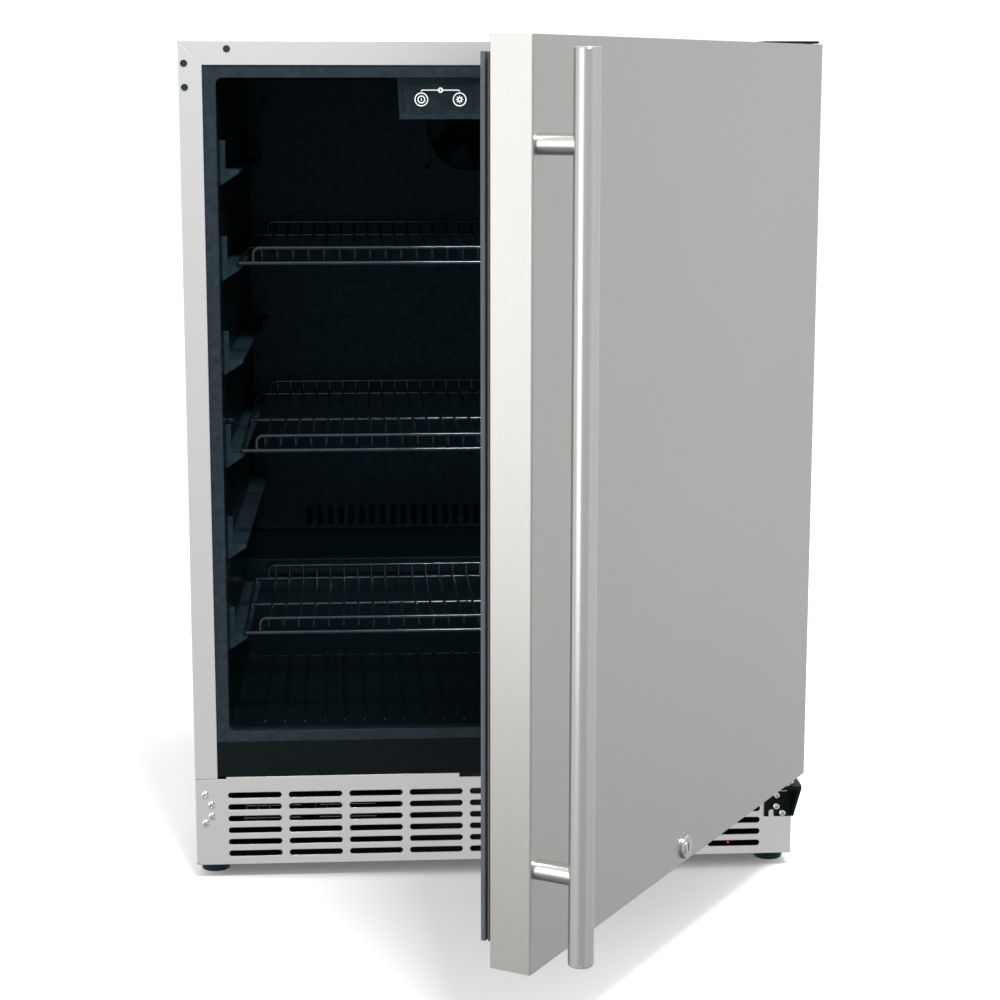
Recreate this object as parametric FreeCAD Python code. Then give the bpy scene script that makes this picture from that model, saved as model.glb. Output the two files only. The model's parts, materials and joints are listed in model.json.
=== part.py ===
import FreeCAD, Part
import math
import os

# Under-counter outdoor fridge, 24 inch class, with one right-hung solid door.
# Millimetres. +X is to the right seen from the front, +Y runs back into the cabinet, +Z is up.
# The origin is on the floor, in the plane of the cabinet's front flange, at the middle of its width.

os.makedirs("parts", exist_ok=True)

# ---- cabinet ---------------------------------------------------------------------------------
width = 597.0
depth = 560.0
height = 820.0
foot_height = 15.0
sheet = 1.0
flange = 22.0
mitre_gap = 0.3
seam = 0.2

# ---- food compartment ------------------------------------------------------------------------
side_wall = 34.5
top_wall = 33.8
rear_wall = 55.0
cavity_low = 151.8
wall_draft = 9.0
cavity_round = 6.5
liner_wall = 2.0
liner_setback = 1.5
hump_high = 262.0
hump_wall = 44.0
rib_pitch = 20.0
rib_radius = 1.8
rib_start = 35.0
rib_margin = 12.0

# ---- plinth and machine compartment ----------------------------------------------------------
plinth_top = 103.6
plinth_seam = 0.5
crossbar_low = 105.7
crossbar_high = 140.3
crossbar_depth = 13.0
crossbar_sheet = 1.2
floor_sheet_z = 106.0
machine_depth = 216.0
machine_top = 218.0
pan_sheet = 1.5
drain_radius = 6.0
kick_sheet = 1.2
kick_inset = 0.5
kick_lip = 2.0
kick_lip_from_edge = 30.7
kick_notch_half = 37.0
kick_notch_drop = 2.0
kick_chamfer = 2.5
slot_length = 53.0
slot_height = 6.0
slot_pitch_x = 60.0
slot_pitch_z = 12.0
slot_rows = 6
slot_first_z = 26.3
slot_side_margin = 30.0

# ---- door ------------------------------------------------------------------------------------
door_side_inset = 1.5
door_low = 107.5
door_top_gap = 2.8
door_gap = 13.0
door_thick = 34.8
door_sheet = 1.0
door_liner_wall = 2.0
door_rest_angle = 58.2
pivot_from_edge = 14.0
pivot_from_front = 17.0
dyke_inset = 42.0
dyke_inset_low = 52.0
dyke_height = 10.0
gasket_inset = 12.0
gasket_inset_handle = 7.5
gasket_inset_low = 17.6
gasket_width = 20.0
gasket_squeeze = 0.4

# ---- handle ----------------------------------------------------------------------------------
handle_radius = 10.0
handle_wall = 2.0
handle_stand_off = 37.5
handle_from_edge = 11.5
handle_low = 121.2
handle_end_drop = 10.4
post_radius = 8.0
post_low = 190.0
post_from_top = 78.0
collar_radius = 8.7
collar_thick = 6.0
cap_plug = 6.0

# ---- hinges ----------------------------------------------------------------------------------
pin_radius = 4.0
running_gap = 0.05
bush_radius = 7.0
bush_length = 20.0
spacer_radius = 6.5
hinge_plate = 2.5
top_tab_thick = 2.0
bracket_over = 0.6
top_arm_length = 51.5
top_arm_low = 11.4
side_arm_width = 12.5
side_arm_low = 50.0
tab_reach = 14.0
low_bracket_width = 28.0
low_bracket_over = 1.6
low_tab_reach = 11.5
low_tab_round = 3.0
low_bracket_low = 54.3
low_bracket_high = 98.0
low_tab_thick = 4.0
notch_radius = 2.8
notch_deep = 4.5
notch_from_edge = 7.2
pin_flange_radius = 6.0
pin_flange_thick = 2.5
washer_radius = 11.0
washer_thick = 2.0
anchor_thick = 3.0
screw_head_radius = 3.6
screw_head_thick = 2.2
screw_socket_radius = 1.5
screw_radius = 2.1

# ---- lock ------------------------------------------------------------------------------------
lock_z = 121.3
rosette_radius = 10.8
rosette_thick = 3.0
barrel_radius = 9.0
plug_radius = 6.5
tail_radius = 3.5
tail_reach = 8.0
cam_near = 4.0
cam_thick = 2.5
cam_length = 13.5
cam_half_width = 4.0

# ---- shelves ---------------------------------------------------------------------------------
ledge_first = 240.2
ledge_pitch = 91.8
ledge_reach = 18.0
ledge_lip = 3.0
ledge_gusset = 15.0
ledge_start = 40.0
ledge_stop_gap = 14.0
rib_high = 28.0
rib_proud = 5.0
rib_thick = 4.0
frame_wire = 2.0
grid_wire = 1.25
grid_pitch = 15.0
grid_margin = 8.0
weld = 0.6
ledge_gap = 0.3
shelf_front = 38.0
shelf_rear_gap = 18.0
shelf_side_gap = 16.8
rail_rise = 12.0
rail_inset = 14.0
rail_bend = 6.0
rail_lean = 1.4
grid_bend = 3.2
low_shelf_rear_gap = 12.0

# ---- air circulation -------------------------------------------------------------------------
duct_from_rear = 37.0
duct_sheet = 2.5
duct_gap = 1.0
vent_pitch = 12.3
vent_width = 6.5
vent_height = 25.0
vent_margin = 60.0
vent_lift = 3.2
fan_drop = 55.0
fan_radius = 50.0
fan_ring = 4.0
blade_clearance = 3.0
fan_hub = 12.0
fan_shaft = 2.0
fan_blades = 5
motor_radius = 17.0
boss_radius = 6.0
duct_screw_from_wall = 17.8
duct_screw_drop = 25.0
duct_screw_low = 273.0

# ---- controls --------------------------------------------------------------------------------
control_half_top = 93.0
control_half_low = 91.0
control_height = 39.0
control_front = 32.0
control_depth = 85.0
control_wall = 2.0
overlay_margin = 5.0
overlay_thick = 1.0
button_radius = 6.7
button_near = 33.5
button_far = 70.2
button_drop = 19.6
button_gap = 0.3
button_length = 7.0
button_proud = 0.9
lens_half = 60.0
lens_from_front = 30.0
lens_deep = 36.0

# ---- feet ------------------------------------------------------------------------------------
foot_top_radius = 16.0
foot_low_radius = 14.0
foot_from_side = 16.6
foot_from_front = 37.0
foot_from_rear = 43.0
stem_radius = 4.0
stem_length = 30.0
nut_across = 13.0
nut_thick = 8.0

# ---- refrigeration machinery -----------------------------------------------------------------
compressor_radius = 68.0
compressor_high = 150.0
compressor_from_side = 188.5
compressor_from_rear = 110.0
condenser_half = 84.0
condenser_from_side = 110.0
condenser_front = 90.0
condenser_depth = 150.0
condenser_low = 24.0
condenser_high = 96.0
tube_radius = 4.0
pipe_radius = 3.0
pipe_bend = 12.0
fin_pitch = 12.0
fin_thick = 0.6
feed_from_side = 128.5
suction_from_side = 148.5
suction_gap = 52.0
pipe_from_rear = 20.0
drain_from_side = 238.5
drain_from_rear = 18.0
drier_radius = 9.0
drier_length = 80.0
drier_gap = 50.0
drier_from_front = 30.0
box_from_side = 48.5
box_wide = 160.0
box_front = 90.0
box_deep = 120.0
box_tall = 62.0
box_wall = 2.0
lamp_from_side = 62.5
lamp_z = 24.0
lamp_radius = 1.5
lamp_front = 9.0

# ---- sizes worked out from the ones above ----------------------------------------------------
half = width / 2
inner_half = half - sheet
opening_half = half - flange
opening_top = height - flange
mouth_half = half - side_wall
cavity_high = height - top_wall
cavity_rear = depth - rear_wall
door_width = width - 2 * door_side_inset
door_half = door_width / 2
door_high = height - door_top_gap
door_back = -door_gap
door_face = -door_gap - door_thick
pivot_x = door_half - pivot_from_edge
pivot_y = door_face + pivot_from_front
handle_x = -door_half + handle_from_edge
handle_y = door_face - handle_stand_off
handle_high = door_high - handle_end_drop
post_levels = (post_low, door_high - post_from_top)
fan_z = cavity_high - fan_drop
bracket_edge = half + bracket_over
low_bracket_edge = half + low_bracket_over
top_arm_inner = half - top_arm_length
side_arm_inner = half - side_arm_width
low_bracket_inner = half - low_bracket_width
control_low = cavity_high - control_height
button_z = control_low + button_drop - button_proud
foot_x = half - foot_from_side
foot_rear = depth - foot_from_rear
machine_front = depth - machine_depth
hump_front = machine_front - hump_wall
duct_y = cavity_rear - duct_from_rear
compressor_x = -half + compressor_from_side
compressor_y = depth - compressor_from_rear
condenser_x = -half + condenser_from_side
lamp_x = half - lamp_from_side
drain_x = half - drain_from_side
drain_y = cavity_rear - drain_from_rear
suction_x = half - suction_from_side
feed_x = half - feed_from_side
pipe_y = cavity_rear - pipe_from_rear

AXIS_X = FreeCAD.Vector(1, 0, 0)
AXIS_Y = FreeCAD.Vector(0, 1, 0)
AXIS_Z = FreeCAD.Vector(0, 0, 1)
ORIGIN = FreeCAD.Vector(0, 0, 0)
FAR = 2000.0


# ---- shape helpers ---------------------------------------------------------------------------
def point(x, y, z):
    return FreeCAD.Vector(x, y, z)


def block(x, y, z):
    """A box between the low and high values in x, y and z."""
    return Part.makeBox(x[1] - x[0], y[1] - y[0], z[1] - z[0], point(x[0], y[0], z[0]))


def rod(radius, start, end):
    """A round bar from start to end."""
    run = end - start
    return Part.makeCylinder(radius, run.Length, start, run)


def rod_y(radius, x, z, near, far):
    return rod(radius, point(x, near, z), point(x, far, z))


def rod_z(radius, x, y, low, high):
    return rod(radius, point(x, y, low), point(x, y, high))


def prism(points, run):
    """A flat outline swept along a straight run."""
    return Part.Face(Part.makePolygon(points + [points[0]])).extrude(run)


def prism_y(outline, near, far):
    """An outline of (x, z) points from y = near to y = far."""
    return prism([point(x, near, z) for x, z in outline], AXIS_Y * (far - near))


def prism_x(outline, low, high):
    """An outline of (y, z) points from x = low to x = high."""
    return prism([point(low, y, z) for y, z in outline], AXIS_X * (high - low))


def slot(x, z, length, tall, near, far):
    """A slot through a sheet that faces the front, with round ends, long in x."""
    r = tall / 2
    reach = length / 2 - r
    ends = [rod_y(r, x - reach, z, near, far), rod_y(r, x + reach, z, near, far)]
    return block((x - reach, x + reach), (near, far), (z - r, z + r)).fuse(ends).removeSplitter()


def upright_slot(x, low, high, wide, near, far):
    r = wide / 2
    ends = [rod_y(r, x, low + r, near, far), rod_y(r, x, high - r, near, far)]
    return block((x - r, x + r), (near, far), (low + r, high - r)).fuse(ends).removeSplitter()


def other_side(shape):
    """The mirror copy on the other side of the middle plane."""
    return shape.mirror(ORIGIN, AXIS_X)


def both_sides(shape):
    return Part.makeCompound([shape, other_side(shape)])


def centred(count, pitch):
    """Places evenly spaced about zero."""
    return [(i - (count - 1) / 2) * pitch for i in range(count)]


def pipe_path(points, bend):
    """A path of straight runs joined by tangent arcs."""
    edges = []
    start = points[0]
    for here, corner, after in zip(points, points[1:], points[2:]):
        before = (here - corner).normalize()
        ahead = (after - corner).normalize()
        half_turn = before.getAngle(ahead) / 2
        cut = bend / math.tan(half_turn)
        middle = (before + ahead).normalize()
        centre = corner + middle * (bend / math.sin(half_turn))
        first = corner + before * cut
        last = corner + ahead * cut
        edges.append(Part.LineSegment(start, first).toShape())
        edges.append(Part.Arc(first, centre - middle * bend, last).toShape())
        start = last
    edges.append(Part.LineSegment(start, points[-1]).toShape())
    return Part.Wire(edges)


def pipe(radius, points, bend):
    """A round pipe along straight runs and arcs."""
    path = pipe_path(points, bend)
    ring = Part.Wire([Part.Circle(points[0], points[1] - points[0], radius).toShape()])
    return path.makePipeShell([ring], True, True)


def screw_head(x, z, near):
    """A domed head that stands on the plane y = near and faces the front."""
    rim = screw_head_thick * 0.35
    head = rod_y(screw_head_radius, x, z, near - screw_head_thick, near)
    edges = [e for e in head.Edges if abs(e.BoundBox.YMax - near + screw_head_thick) < 0.01]
    head = head.makeFillet(screw_head_thick - rim, edges)
    socket = rod_y(screw_socket_radius, x, z, near - screw_head_thick, near - screw_head_thick * 0.35)
    return head.cut(socket)


def screw(x, z, near, length):
    """A screw whose head stands on y = near and whose shank runs back."""
    return screw_head(x, z, near).fuse(rod_y(screw_radius, x, z, near, near + length))


def hexagon(x, y, low, high, across):
    r = across / 2 / math.cos(math.pi / 6)
    corners = [(x + r * math.cos(math.pi / 3 * i), y + r * math.sin(math.pi / 3 * i)) for i in range(6)]
    return prism([point(a, b, low) for a, b in corners], AXIS_Z * (high - low))


# ---- outer casing ----------------------------------------------------------------------------
# Holes in the front flanges where the top hinge is screwed, the same on both sides.
top_hinge_holes = [
    (half - 45.5, height - 7.2),
    (half - 5.4, height - 20.6),
    (half - 5.7, height - 42.7),
]
# Holes in the kick plate where the bottom hinge is screwed, the same on both sides.
low_hinge_holes = [
    (half - 9.5, plinth_top - 16.4),
    (half - 15.7, plinth_top - 26.7),
    (half - 15.9, plinth_top - 38.4),
    (half - 9.8, plinth_top - 45.4),
]


def hole_rods(holes, radius, near, far):
    """Rods through a list of holes, on both sides of the cabinet."""
    right = [rod_y(radius, x, z, near, far) for x, z in holes]
    return right + [other_side(r) for r in right]


def right_side():
    top = height - sheet
    plate = block((half - sheet, half), (0, depth), (foot_height, top))
    outline = [
        (half, plinth_top),
        (half, top - mitre_gap),
        (half - sheet, top - mitre_gap),
        (half - flange, height - flange - mitre_gap),
        (half - flange, plinth_top),
    ]
    face = prism_y(outline, 0, sheet)
    plinth_cut = block((half - sheet - 1, half + 1), (-1, kick_sheet + seam), (0, plinth_top))
    return plate.fuse(face).cut(plinth_cut).cut(hole_rods(top_hinge_holes, screw_radius, -1, sheet + 1))


def top_panel():
    plate = block((-half, half), (0, depth), (height - sheet, height))
    outline = [
        (-half, height),
        (half, height),
        (half, height - sheet),
        (half - sheet, height - sheet),
        (half - flange, height - flange),
        (-half + flange, height - flange),
        (-half + sheet, height - sheet),
        (-half, height - sheet),
    ]
    face = prism_y(outline, 0, sheet)
    return plate.fuse(face).cut(hole_rods(top_hinge_holes, screw_radius, -1, sheet + 1))


def rear_panel():
    return block((-inner_half, inner_half), (depth - sheet, depth), (machine_top, height - sheet))


def bottom_plate():
    """The stepped sheet under the insulation, up and over the machine compartment."""
    outline = [
        (crossbar_depth, floor_sheet_z - sheet),
        (machine_front + sheet, floor_sheet_z - sheet),
        (machine_front + sheet, machine_top - sheet),
        (depth, machine_top - sheet),
        (depth, machine_top),
        (machine_front, machine_top),
        (machine_front, floor_sheet_z),
        (crossbar_depth, floor_sheet_z),
    ]
    return prism_x(outline, -inner_half, inner_half).cut(service_holes())


def base_pan():
    pan = block(
        (-inner_half, inner_half),
        (kick_sheet + seam, depth - sheet),
        (foot_height, foot_height + pan_sheet),
    )
    holes = [rod_z(stem_radius + 0.5, x, y, 0, 60) for x, y in foot_places().values()]
    middle = condenser_front + condenser_depth / 2 + 5
    grille = []
    for y in centred(7, 14.0):
        for x in (condenser_x - 40, condenser_x + 40):
            grille.append(block((x - 30, x + 30), (middle + y - 3, middle + y + 3), (0, 60)))
    return pan.cut(holes + grille)


def machine_cover():
    """The louvred sheet that closes the back of the machine compartment."""
    low = foot_height + pan_sheet + seam
    high = machine_top - sheet - seam
    cover = block((-inner_half + seam, inner_half - seam), (depth - sheet, depth), (low, high))
    columns = centred(int((width - 120) / 70), 70.0)
    slots = []
    for x in columns:
        for i in range(8):
            slots.append(slot(x, low + 40 + 16 * i, 54.0, 6.0, depth - 5, depth + 5))
    inlet = rod_y(8.0, inner_half - 30, low + 20, depth - 5, depth + 5)
    return cover.cut(slots + [inlet])


def cord_gland():
    x = inner_half - 30
    z = foot_height + pan_sheet + seam + 20
    outer = rod_y(11.0, x, z, depth, depth + 3).fuse(rod_y(8.0, x, z, depth - 6, depth))
    return outer.cut(rod_y(4.5, x, z, depth - 10, depth + 5))


def kick_plate():
    edge = half - kick_inset
    top = plinth_top - plinth_seam
    lip_half = half - kick_lip_from_edge
    outline = [
        (-edge + kick_chamfer, foot_height),
        (edge - kick_chamfer, foot_height),
        (edge, foot_height + kick_chamfer),
        (edge, top),
        (lip_half, top),
        (lip_half, top + kick_lip),
        (kick_notch_half, top + kick_lip),
        (kick_notch_half, top - kick_notch_drop),
        (-kick_notch_half, top - kick_notch_drop),
        (-kick_notch_half, top + kick_lip),
        (-lip_half, top + kick_lip),
        (-lip_half, top),
        (-edge, top),
        (-edge, foot_height + kick_chamfer),
    ]
    plate = prism_y(outline, 0, kick_sheet)
    columns = int((width - 2 * slot_side_margin + slot_pitch_x - slot_length) / slot_pitch_x)
    slots = []
    for x in centred(columns, slot_pitch_x):
        for row in range(slot_rows):
            z = slot_first_z + slot_pitch_z * row
            slots.append(slot(x, z, slot_length, slot_height, -1, kick_sheet + 1))
    return plate.cut(slots + hole_rods(low_hinge_holes, screw_radius, -1, kick_sheet + 1))


def top_anchor_block(grow):
    """The tapped plate behind the flange corner, right side."""
    near = sheet
    far = sheet + anchor_thick + grow
    arm = block((half - 52, inner_half), (near, far), (height - 13.5, height - sheet))
    leg = block((half - 12, inner_half), (near, far), (height - 54, height - sheet))
    return arm.fuse(leg).removeSplitter()


def hinge_anchors():
    """The tapped plates that the hinge screws reach, behind the flange corners and the kick plate."""
    high_plate = top_anchor_block(0).cut(hole_rods(top_hinge_holes, screw_radius, 0, FAR))
    low = min(z for x, z in low_hinge_holes) - 8
    high = max(z for x, z in low_hinge_holes) + 8
    plate = block((half - 28, inner_half), (kick_sheet + seam, kick_sheet + anchor_thick), (low, high))
    low_plate = plate.cut(hole_rods(low_hinge_holes, screw_radius, 0, FAR))
    return Part.makeCompound([high_plate, other_side(high_plate), low_plate, other_side(low_plate)])


def flange_plugs():
    """Caps in the spare hinge holes on the left."""
    plugs = []
    for x, z in top_hinge_holes:
        cap = rod_y(3.3, x, z, -1.2, 0).fuse(rod_y(screw_radius, x, z, 0, sheet))
        plugs.append(other_side(cap))
    return Part.makeCompound(plugs)


# ---- insulated shell -------------------------------------------------------------------------
def wall_half(y):
    """Half the width of the food compartment at a depth y."""
    return mouth_half - wall_draft * y / cavity_rear


def hollow(grow):
    """The food compartment's space, made larger all round by grow."""
    front = -10.0
    rear = cavity_rear + grow
    low = cavity_low - grow
    high = cavity_high + grow
    plan = [
        point(-wall_half(front) - grow, front, low),
        point(wall_half(front) + grow, front, low),
        point(wall_half(rear) + grow, rear, low),
        point(-wall_half(rear) - grow, rear, low),
    ]
    space = prism(plan, AXIS_Z * (high - low))
    long_edges = [e for e in space.Edges if e.BoundBox.YLength > cavity_rear * 0.9]
    space = space.makeFillet(cavity_round + grow, long_edges)
    step = block((-FAR, FAR), (hump_front + grow, FAR), (0, hump_high - grow))
    return space.cut(step)


def service_holes():
    """The holes for the drain and the refrigerant pipes through floor sheet, foam and liner."""
    low = machine_top - 20
    high = hump_high + 20
    drain = rod_z(drain_radius, drain_x, drain_y, low, high)
    suction = rod_z(pipe_radius, suction_x, pipe_y, low, high)
    feed = rod_z(pipe_radius, feed_x, pipe_y, low, high)
    return [drain, suction, feed]


def duct_bosses():
    """The posts on the liner's rear wall that the duct panel is screwed to."""
    x = wall_half(duct_y) - duct_screw_from_wall
    near = duct_y + duct_sheet
    posts = []
    for z in (cavity_high - duct_screw_drop, cavity_high - duct_screw_low):
        post = rod_y(boss_radius, x, z, near, cavity_rear + 1).cut(rod_y(screw_radius, x, z, near, near + 12))
        posts += [post, other_side(post)]
    return posts


def drain_spout():
    """The tube that carries defrost water from the back of the compartment to the tray."""
    low = machine_top - 26
    tube = rod_z(drain_radius, drain_x, drain_y, low, hump_high)
    return tube.cut(rod_z(drain_radius - 1.4, drain_x, drain_y, low - 1, hump_high + 1))


def floor_ribs():
    count = 2 * int((mouth_half - rib_margin) / rib_pitch)
    z = cavity_low + rib_radius * 0.1
    ribs = []
    for x in centred(count, rib_pitch):
        ribs.append(rod_y(rib_radius, x, z, rib_start, hump_front + 1))
        ribs.append(Part.makeSphere(rib_radius, point(x, rib_start, z)))
    return ribs


def inner_liner():
    front_cut = block((-FAR, FAR), (-FAR, liner_setback), (0, FAR))
    tub = hollow(liner_wall).cut(front_cut)
    rim = block(
        (-opening_half + seam, opening_half - seam),
        (liner_setback, liner_setback + liner_wall),
        (crossbar_high + seam, opening_top - seam),
    )
    shell = tub.fuse(rim).cut(hollow(0)).cut(service_holes())
    return shell.fuse(floor_ribs() + duct_bosses() + [drain_spout()])


def insulation_foam():
    foam = block((-inner_half, inner_half), (sheet, depth - sheet), (floor_sheet_z, height - sheet))
    rim = block((-opening_half, opening_half), (0, liner_setback + liner_wall), (0, opening_top))
    machine = block((-FAR, FAR), (machine_front, FAR), (0, machine_top))
    crossbar = block((-opening_half, opening_half), (0, crossbar_depth), (0, crossbar_high))
    anchor = top_anchor_block(seam)
    cuts = [hollow(liner_wall), rim, machine, crossbar, anchor, other_side(anchor)]
    return foam.cut(cuts).cut(service_holes())


def front_crossbar():
    """The dark channel under the compartment's mouth, slotted for the lock's cam."""
    low = crossbar_low
    high = crossbar_high
    t = crossbar_sheet
    near = plinth_seam
    outline = [
        (crossbar_depth, low),
        (near, low),
        (near, high),
        (crossbar_depth, high),
        (crossbar_depth, high - t),
        (near + t, high - t),
        (near + t, low + t),
        (crossbar_depth, low + t),
    ]
    reach = opening_half - seam
    slot_z = (lock_z - cam_half_width - 1.5, lock_z + cam_half_width + 1.5)
    cam_slot = block((-tail_radius - 2.5, cam_length + 3), (-5, near + t + 1), slot_z)
    return prism_x(outline, -reach, reach).cut(cam_slot)


# ---- inside the compartment ------------------------------------------------------------------
def ledge_levels():
    count = int((control_low - 30 - ledge_first) / ledge_pitch) + 1
    return [ledge_first + ledge_pitch * k for k in range(count)]


def ledge(level):
    """A shelf runner on the right wall: a flat top, a gusset under it and a guide rib above."""
    stop = hump_front - ledge_stop_gap if level < hump_high else duct_y - ledge_stop_gap
    wall = wall_half(ledge_start)
    outline = [
        point(wall, ledge_start, level),
        point(wall - ledge_reach, ledge_start, level),
        point(wall - ledge_reach, ledge_start, level - ledge_lip),
        point(wall, ledge_start, level - ledge_gusset),
    ]
    run = stop - ledge_start
    along = point(-wall_draft * run / cavity_rear, run, 0)
    rib = [
        point(wall, ledge_start, level),
        point(wall - rib_proud, ledge_start, level),
        point(wall - rib_proud, ledge_start, level + rib_high),
        point(wall, ledge_start, level + rib_high),
    ]
    short = point(-wall_draft * rib_thick / cavity_rear, rib_thick, 0)
    return prism(outline, along).fuse(prism(rib, short))


def shelf_runners():
    runners = []
    for level in ledge_levels():
        right = ledge(level)
        runners += [right, other_side(right)]
    return Part.makeCompound(runners)


def shelf(rear):
    """A wire shelf as it lies on runners at height zero, with a raised rail front and back."""
    z = ledge_gap + frame_wire
    grid_z = z + frame_wire + grid_wire - weld
    rail_z = grid_z + rail_rise
    side = wall_half(0) - shelf_side_gap
    front = shelf_front
    wires = []
    for x in (-side, side):
        wires.append(rod_y(frame_wire, x, z, front, rear))
        wires.append(Part.makeSphere(frame_wire, point(x, front, z)))
        wires.append(Part.makeSphere(frame_wire, point(x, rear, z)))
    for y in (front, (front + rear) / 2, rear):
        wires.append(rod(frame_wire, point(-side, y, z), point(side, y, z)))
    reach = side - rail_inset
    count = int(2 * (reach - grid_margin) / grid_pitch) + 1
    for y in (front, rear):
        hoop = [
            point(-reach, y, z),
            point(-reach, y, rail_z),
            point(reach, y, rail_z),
            point(reach, y, z),
        ]
        wires.append(pipe(frame_wire * 0.85, hoop, rail_bend))
    rise = frame_wire + grid_wire + rail_lean
    for x in centred(count, grid_pitch):
        run = [
            point(x, front + 0.3, rail_z + 0.15),
            point(x, front + rise, grid_z),
            point(x, rear - rise, grid_z),
            point(x, rear - 0.3, rail_z + 0.15),
        ]
        wires.append(pipe(grid_wire, run, grid_bend))
    return wires[0].multiFuse(wires[1:])


def duct_panel():
    reach = wall_half(duct_y) - duct_gap
    low = hump_high + duct_gap
    far = duct_y + duct_sheet
    panel = block((-FAR, FAR), (duct_y, far), (low, cavity_high)).common(hollow(-duct_gap))
    count = int(2 * (reach - vent_margin) / vent_pitch) + 1
    vent_low = low + vent_lift
    vent_high = vent_low + vent_height
    vents = []
    for x in centred(count, vent_pitch):
        vents.append(upright_slot(x, vent_low, vent_high, vent_width, duct_y - 1, far + 1))
    fan_hole = rod_y(fan_radius, 0, fan_z, duct_y - 1, far + 1)
    screws = [rod_y(screw_radius, x, z, duct_y - 1, far + 1) for x, z in duct_screw_places()]
    return panel.cut(vents + [fan_hole] + screws).fuse(fan_ring_and_arms())


def duct_screw_places():
    x = wall_half(duct_y) - duct_screw_from_wall
    high = cavity_high - duct_screw_drop
    low = cavity_high - duct_screw_low
    return [(-x, high), (x, high), (-x, low), (x, low)]


def fan_ring_and_arms():
    """The moulded ring and three arms that hold the circulation fan behind its opening."""
    near = duct_y + duct_sheet
    far = near + 24
    ring = rod_y(fan_radius + fan_ring, 0, fan_z, near, far).cut(rod_y(fan_radius, 0, fan_z, near, far))
    hub = rod_y(motor_radius + 2, 0, fan_z, far - 3, far)
    arms = []
    for turn in (90, 210, 330):
        arm = block((0, fan_radius + 1), (far - 3, far), (fan_z - 4, fan_z + 4))
        arm.rotate(point(0, 0, fan_z), AXIS_Y, turn)
        arms.append(arm)
    return ring.fuse([hub] + arms).cut(rod_y(fan_shaft + 0.5, 0, fan_z, near, far + 1))


def fan_motor():
    near = duct_y + duct_sheet + 24
    far = near + 8
    body = rod_y(motor_radius, 0, fan_z, near, far)
    return body.fuse(rod_y(fan_shaft, 0, fan_z, near - 20, near))


def bladed_wheel(radius, hub, blades, x, z, near, wide, shaft):
    """A fan wheel that turns about a line along y."""
    core = rod_y(hub, x, z, near, near + wide)
    pieces = []
    middle = near + wide / 2
    chord = radius * 0.28
    for i in range(blades):
        blade = block((hub - 2, radius), (middle - 0.7, middle + 0.7), (-chord, chord))
        blade.rotate(point(0, middle, 0), AXIS_X, 28)
        blade.translate(point(x, 0, z))
        blade.rotate(point(x, 0, z), AXIS_Y, 360.0 / blades * i)
        pieces.append(blade)
    rim = rod_y(radius, x, z, near - wide, near + 2 * wide)
    return core.fuse(pieces).common(rim).cut(rod_y(shaft + running_gap, x, z, near - 1, near + wide + 1))


def circulation_fan():
    near = duct_y + duct_sheet + 4
    return bladed_wheel(fan_radius - blade_clearance, fan_hub, fan_blades, 0, fan_z, near, 12, fan_shaft)


def evaporator():
    """The aluminium coil behind the duct panel."""
    y = (duct_y + duct_sheet + cavity_rear) / 2
    reach = wall_half(cavity_rear) - 60
    low = hump_high + 50
    high = fan_z - fan_radius - 30
    rows = max(2, int((high - low) / 44))
    pitch = (high - low) / rows
    corners = []
    for i in range(rows + 1):
        side = 1 if i % 2 else -1
        corners += [point(-side * reach, y, low + pitch * i), point(side * reach, y, low + pitch * i)]
    coil = pipe(tube_radius, corners, tube_radius * 2)
    back = y + tube_radius
    plate = block((-reach - 10, reach + 10), (back - 1, back + 0.5), (low - 8, high + 8))
    return coil.fuse(plate)


# ---- controls --------------------------------------------------------------------------------
def control_outline(inset):
    return [
        (-control_half_low + inset, control_low + inset),
        (control_half_low - inset, control_low + inset),
        (control_half_top - inset, cavity_high - inset),
        (-control_half_top + inset, cavity_high - inset),
    ]


def button_places():
    return {
        "power_button": -button_far,
        "light_button": -button_near,
        "warmer_button": button_near,
        "colder_button": button_far,
    }


def button_rods(radius, near, far):
    return [rod_y(radius, x, button_z, near, far) for x in button_places().values()]


def lens_block(inset, low, high):
    """The lamp window's plan, drawn in by inset."""
    reach = lens_half - inset
    near = control_front + lens_from_front + inset
    far = control_front + lens_from_front + lens_deep - inset
    return block((-reach, reach), (near, far), (low, high))


def control_housing():
    far = control_front + control_depth
    body = prism_y(control_outline(0), control_front, far)
    inside = prism_y(control_outline(control_wall), control_front + control_wall + 2, far - control_wall)
    seat = prism_y(control_outline(overlay_margin), control_front - 1, control_front + overlay_thick)
    window = lens_block(0, control_low - 1, control_low + control_wall + 1)
    return body.cut([inside, seat, window] + button_rods(button_radius + button_gap, 0, control_front + 8))


def control_overlay():
    plate = prism_y(control_outline(overlay_margin + seam), control_front, control_front + overlay_thick)
    return plate.cut(button_rods(button_radius + button_gap, 0, FAR))


def control_board():
    y = control_front + 14
    low = control_low + control_wall + 4
    high = cavity_high - control_wall - 4
    board = block((-80, 80), (y, y + 1.6), (low, high))
    chips = [block((x - 6, x + 6), (y + 1.6, y + 5), (low + 6, low + 16)) for x in (-50, -20, 30)]
    return board.fuse(chips)


def light_lens():
    """The lamp's window in the underside of the control housing."""
    return lens_block(seam, control_low, control_low + control_wall)


def button(x):
    """A round push button whose face stands a little proud of the overlay."""
    near = control_front - button_proud
    cap = rod_y(button_radius, x, button_z, near, near + button_length)
    edges = [e for e in cap.Edges if abs(e.BoundBox.YMax - near) < 0.01]
    return cap.makeFillet(0.5, edges)


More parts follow.
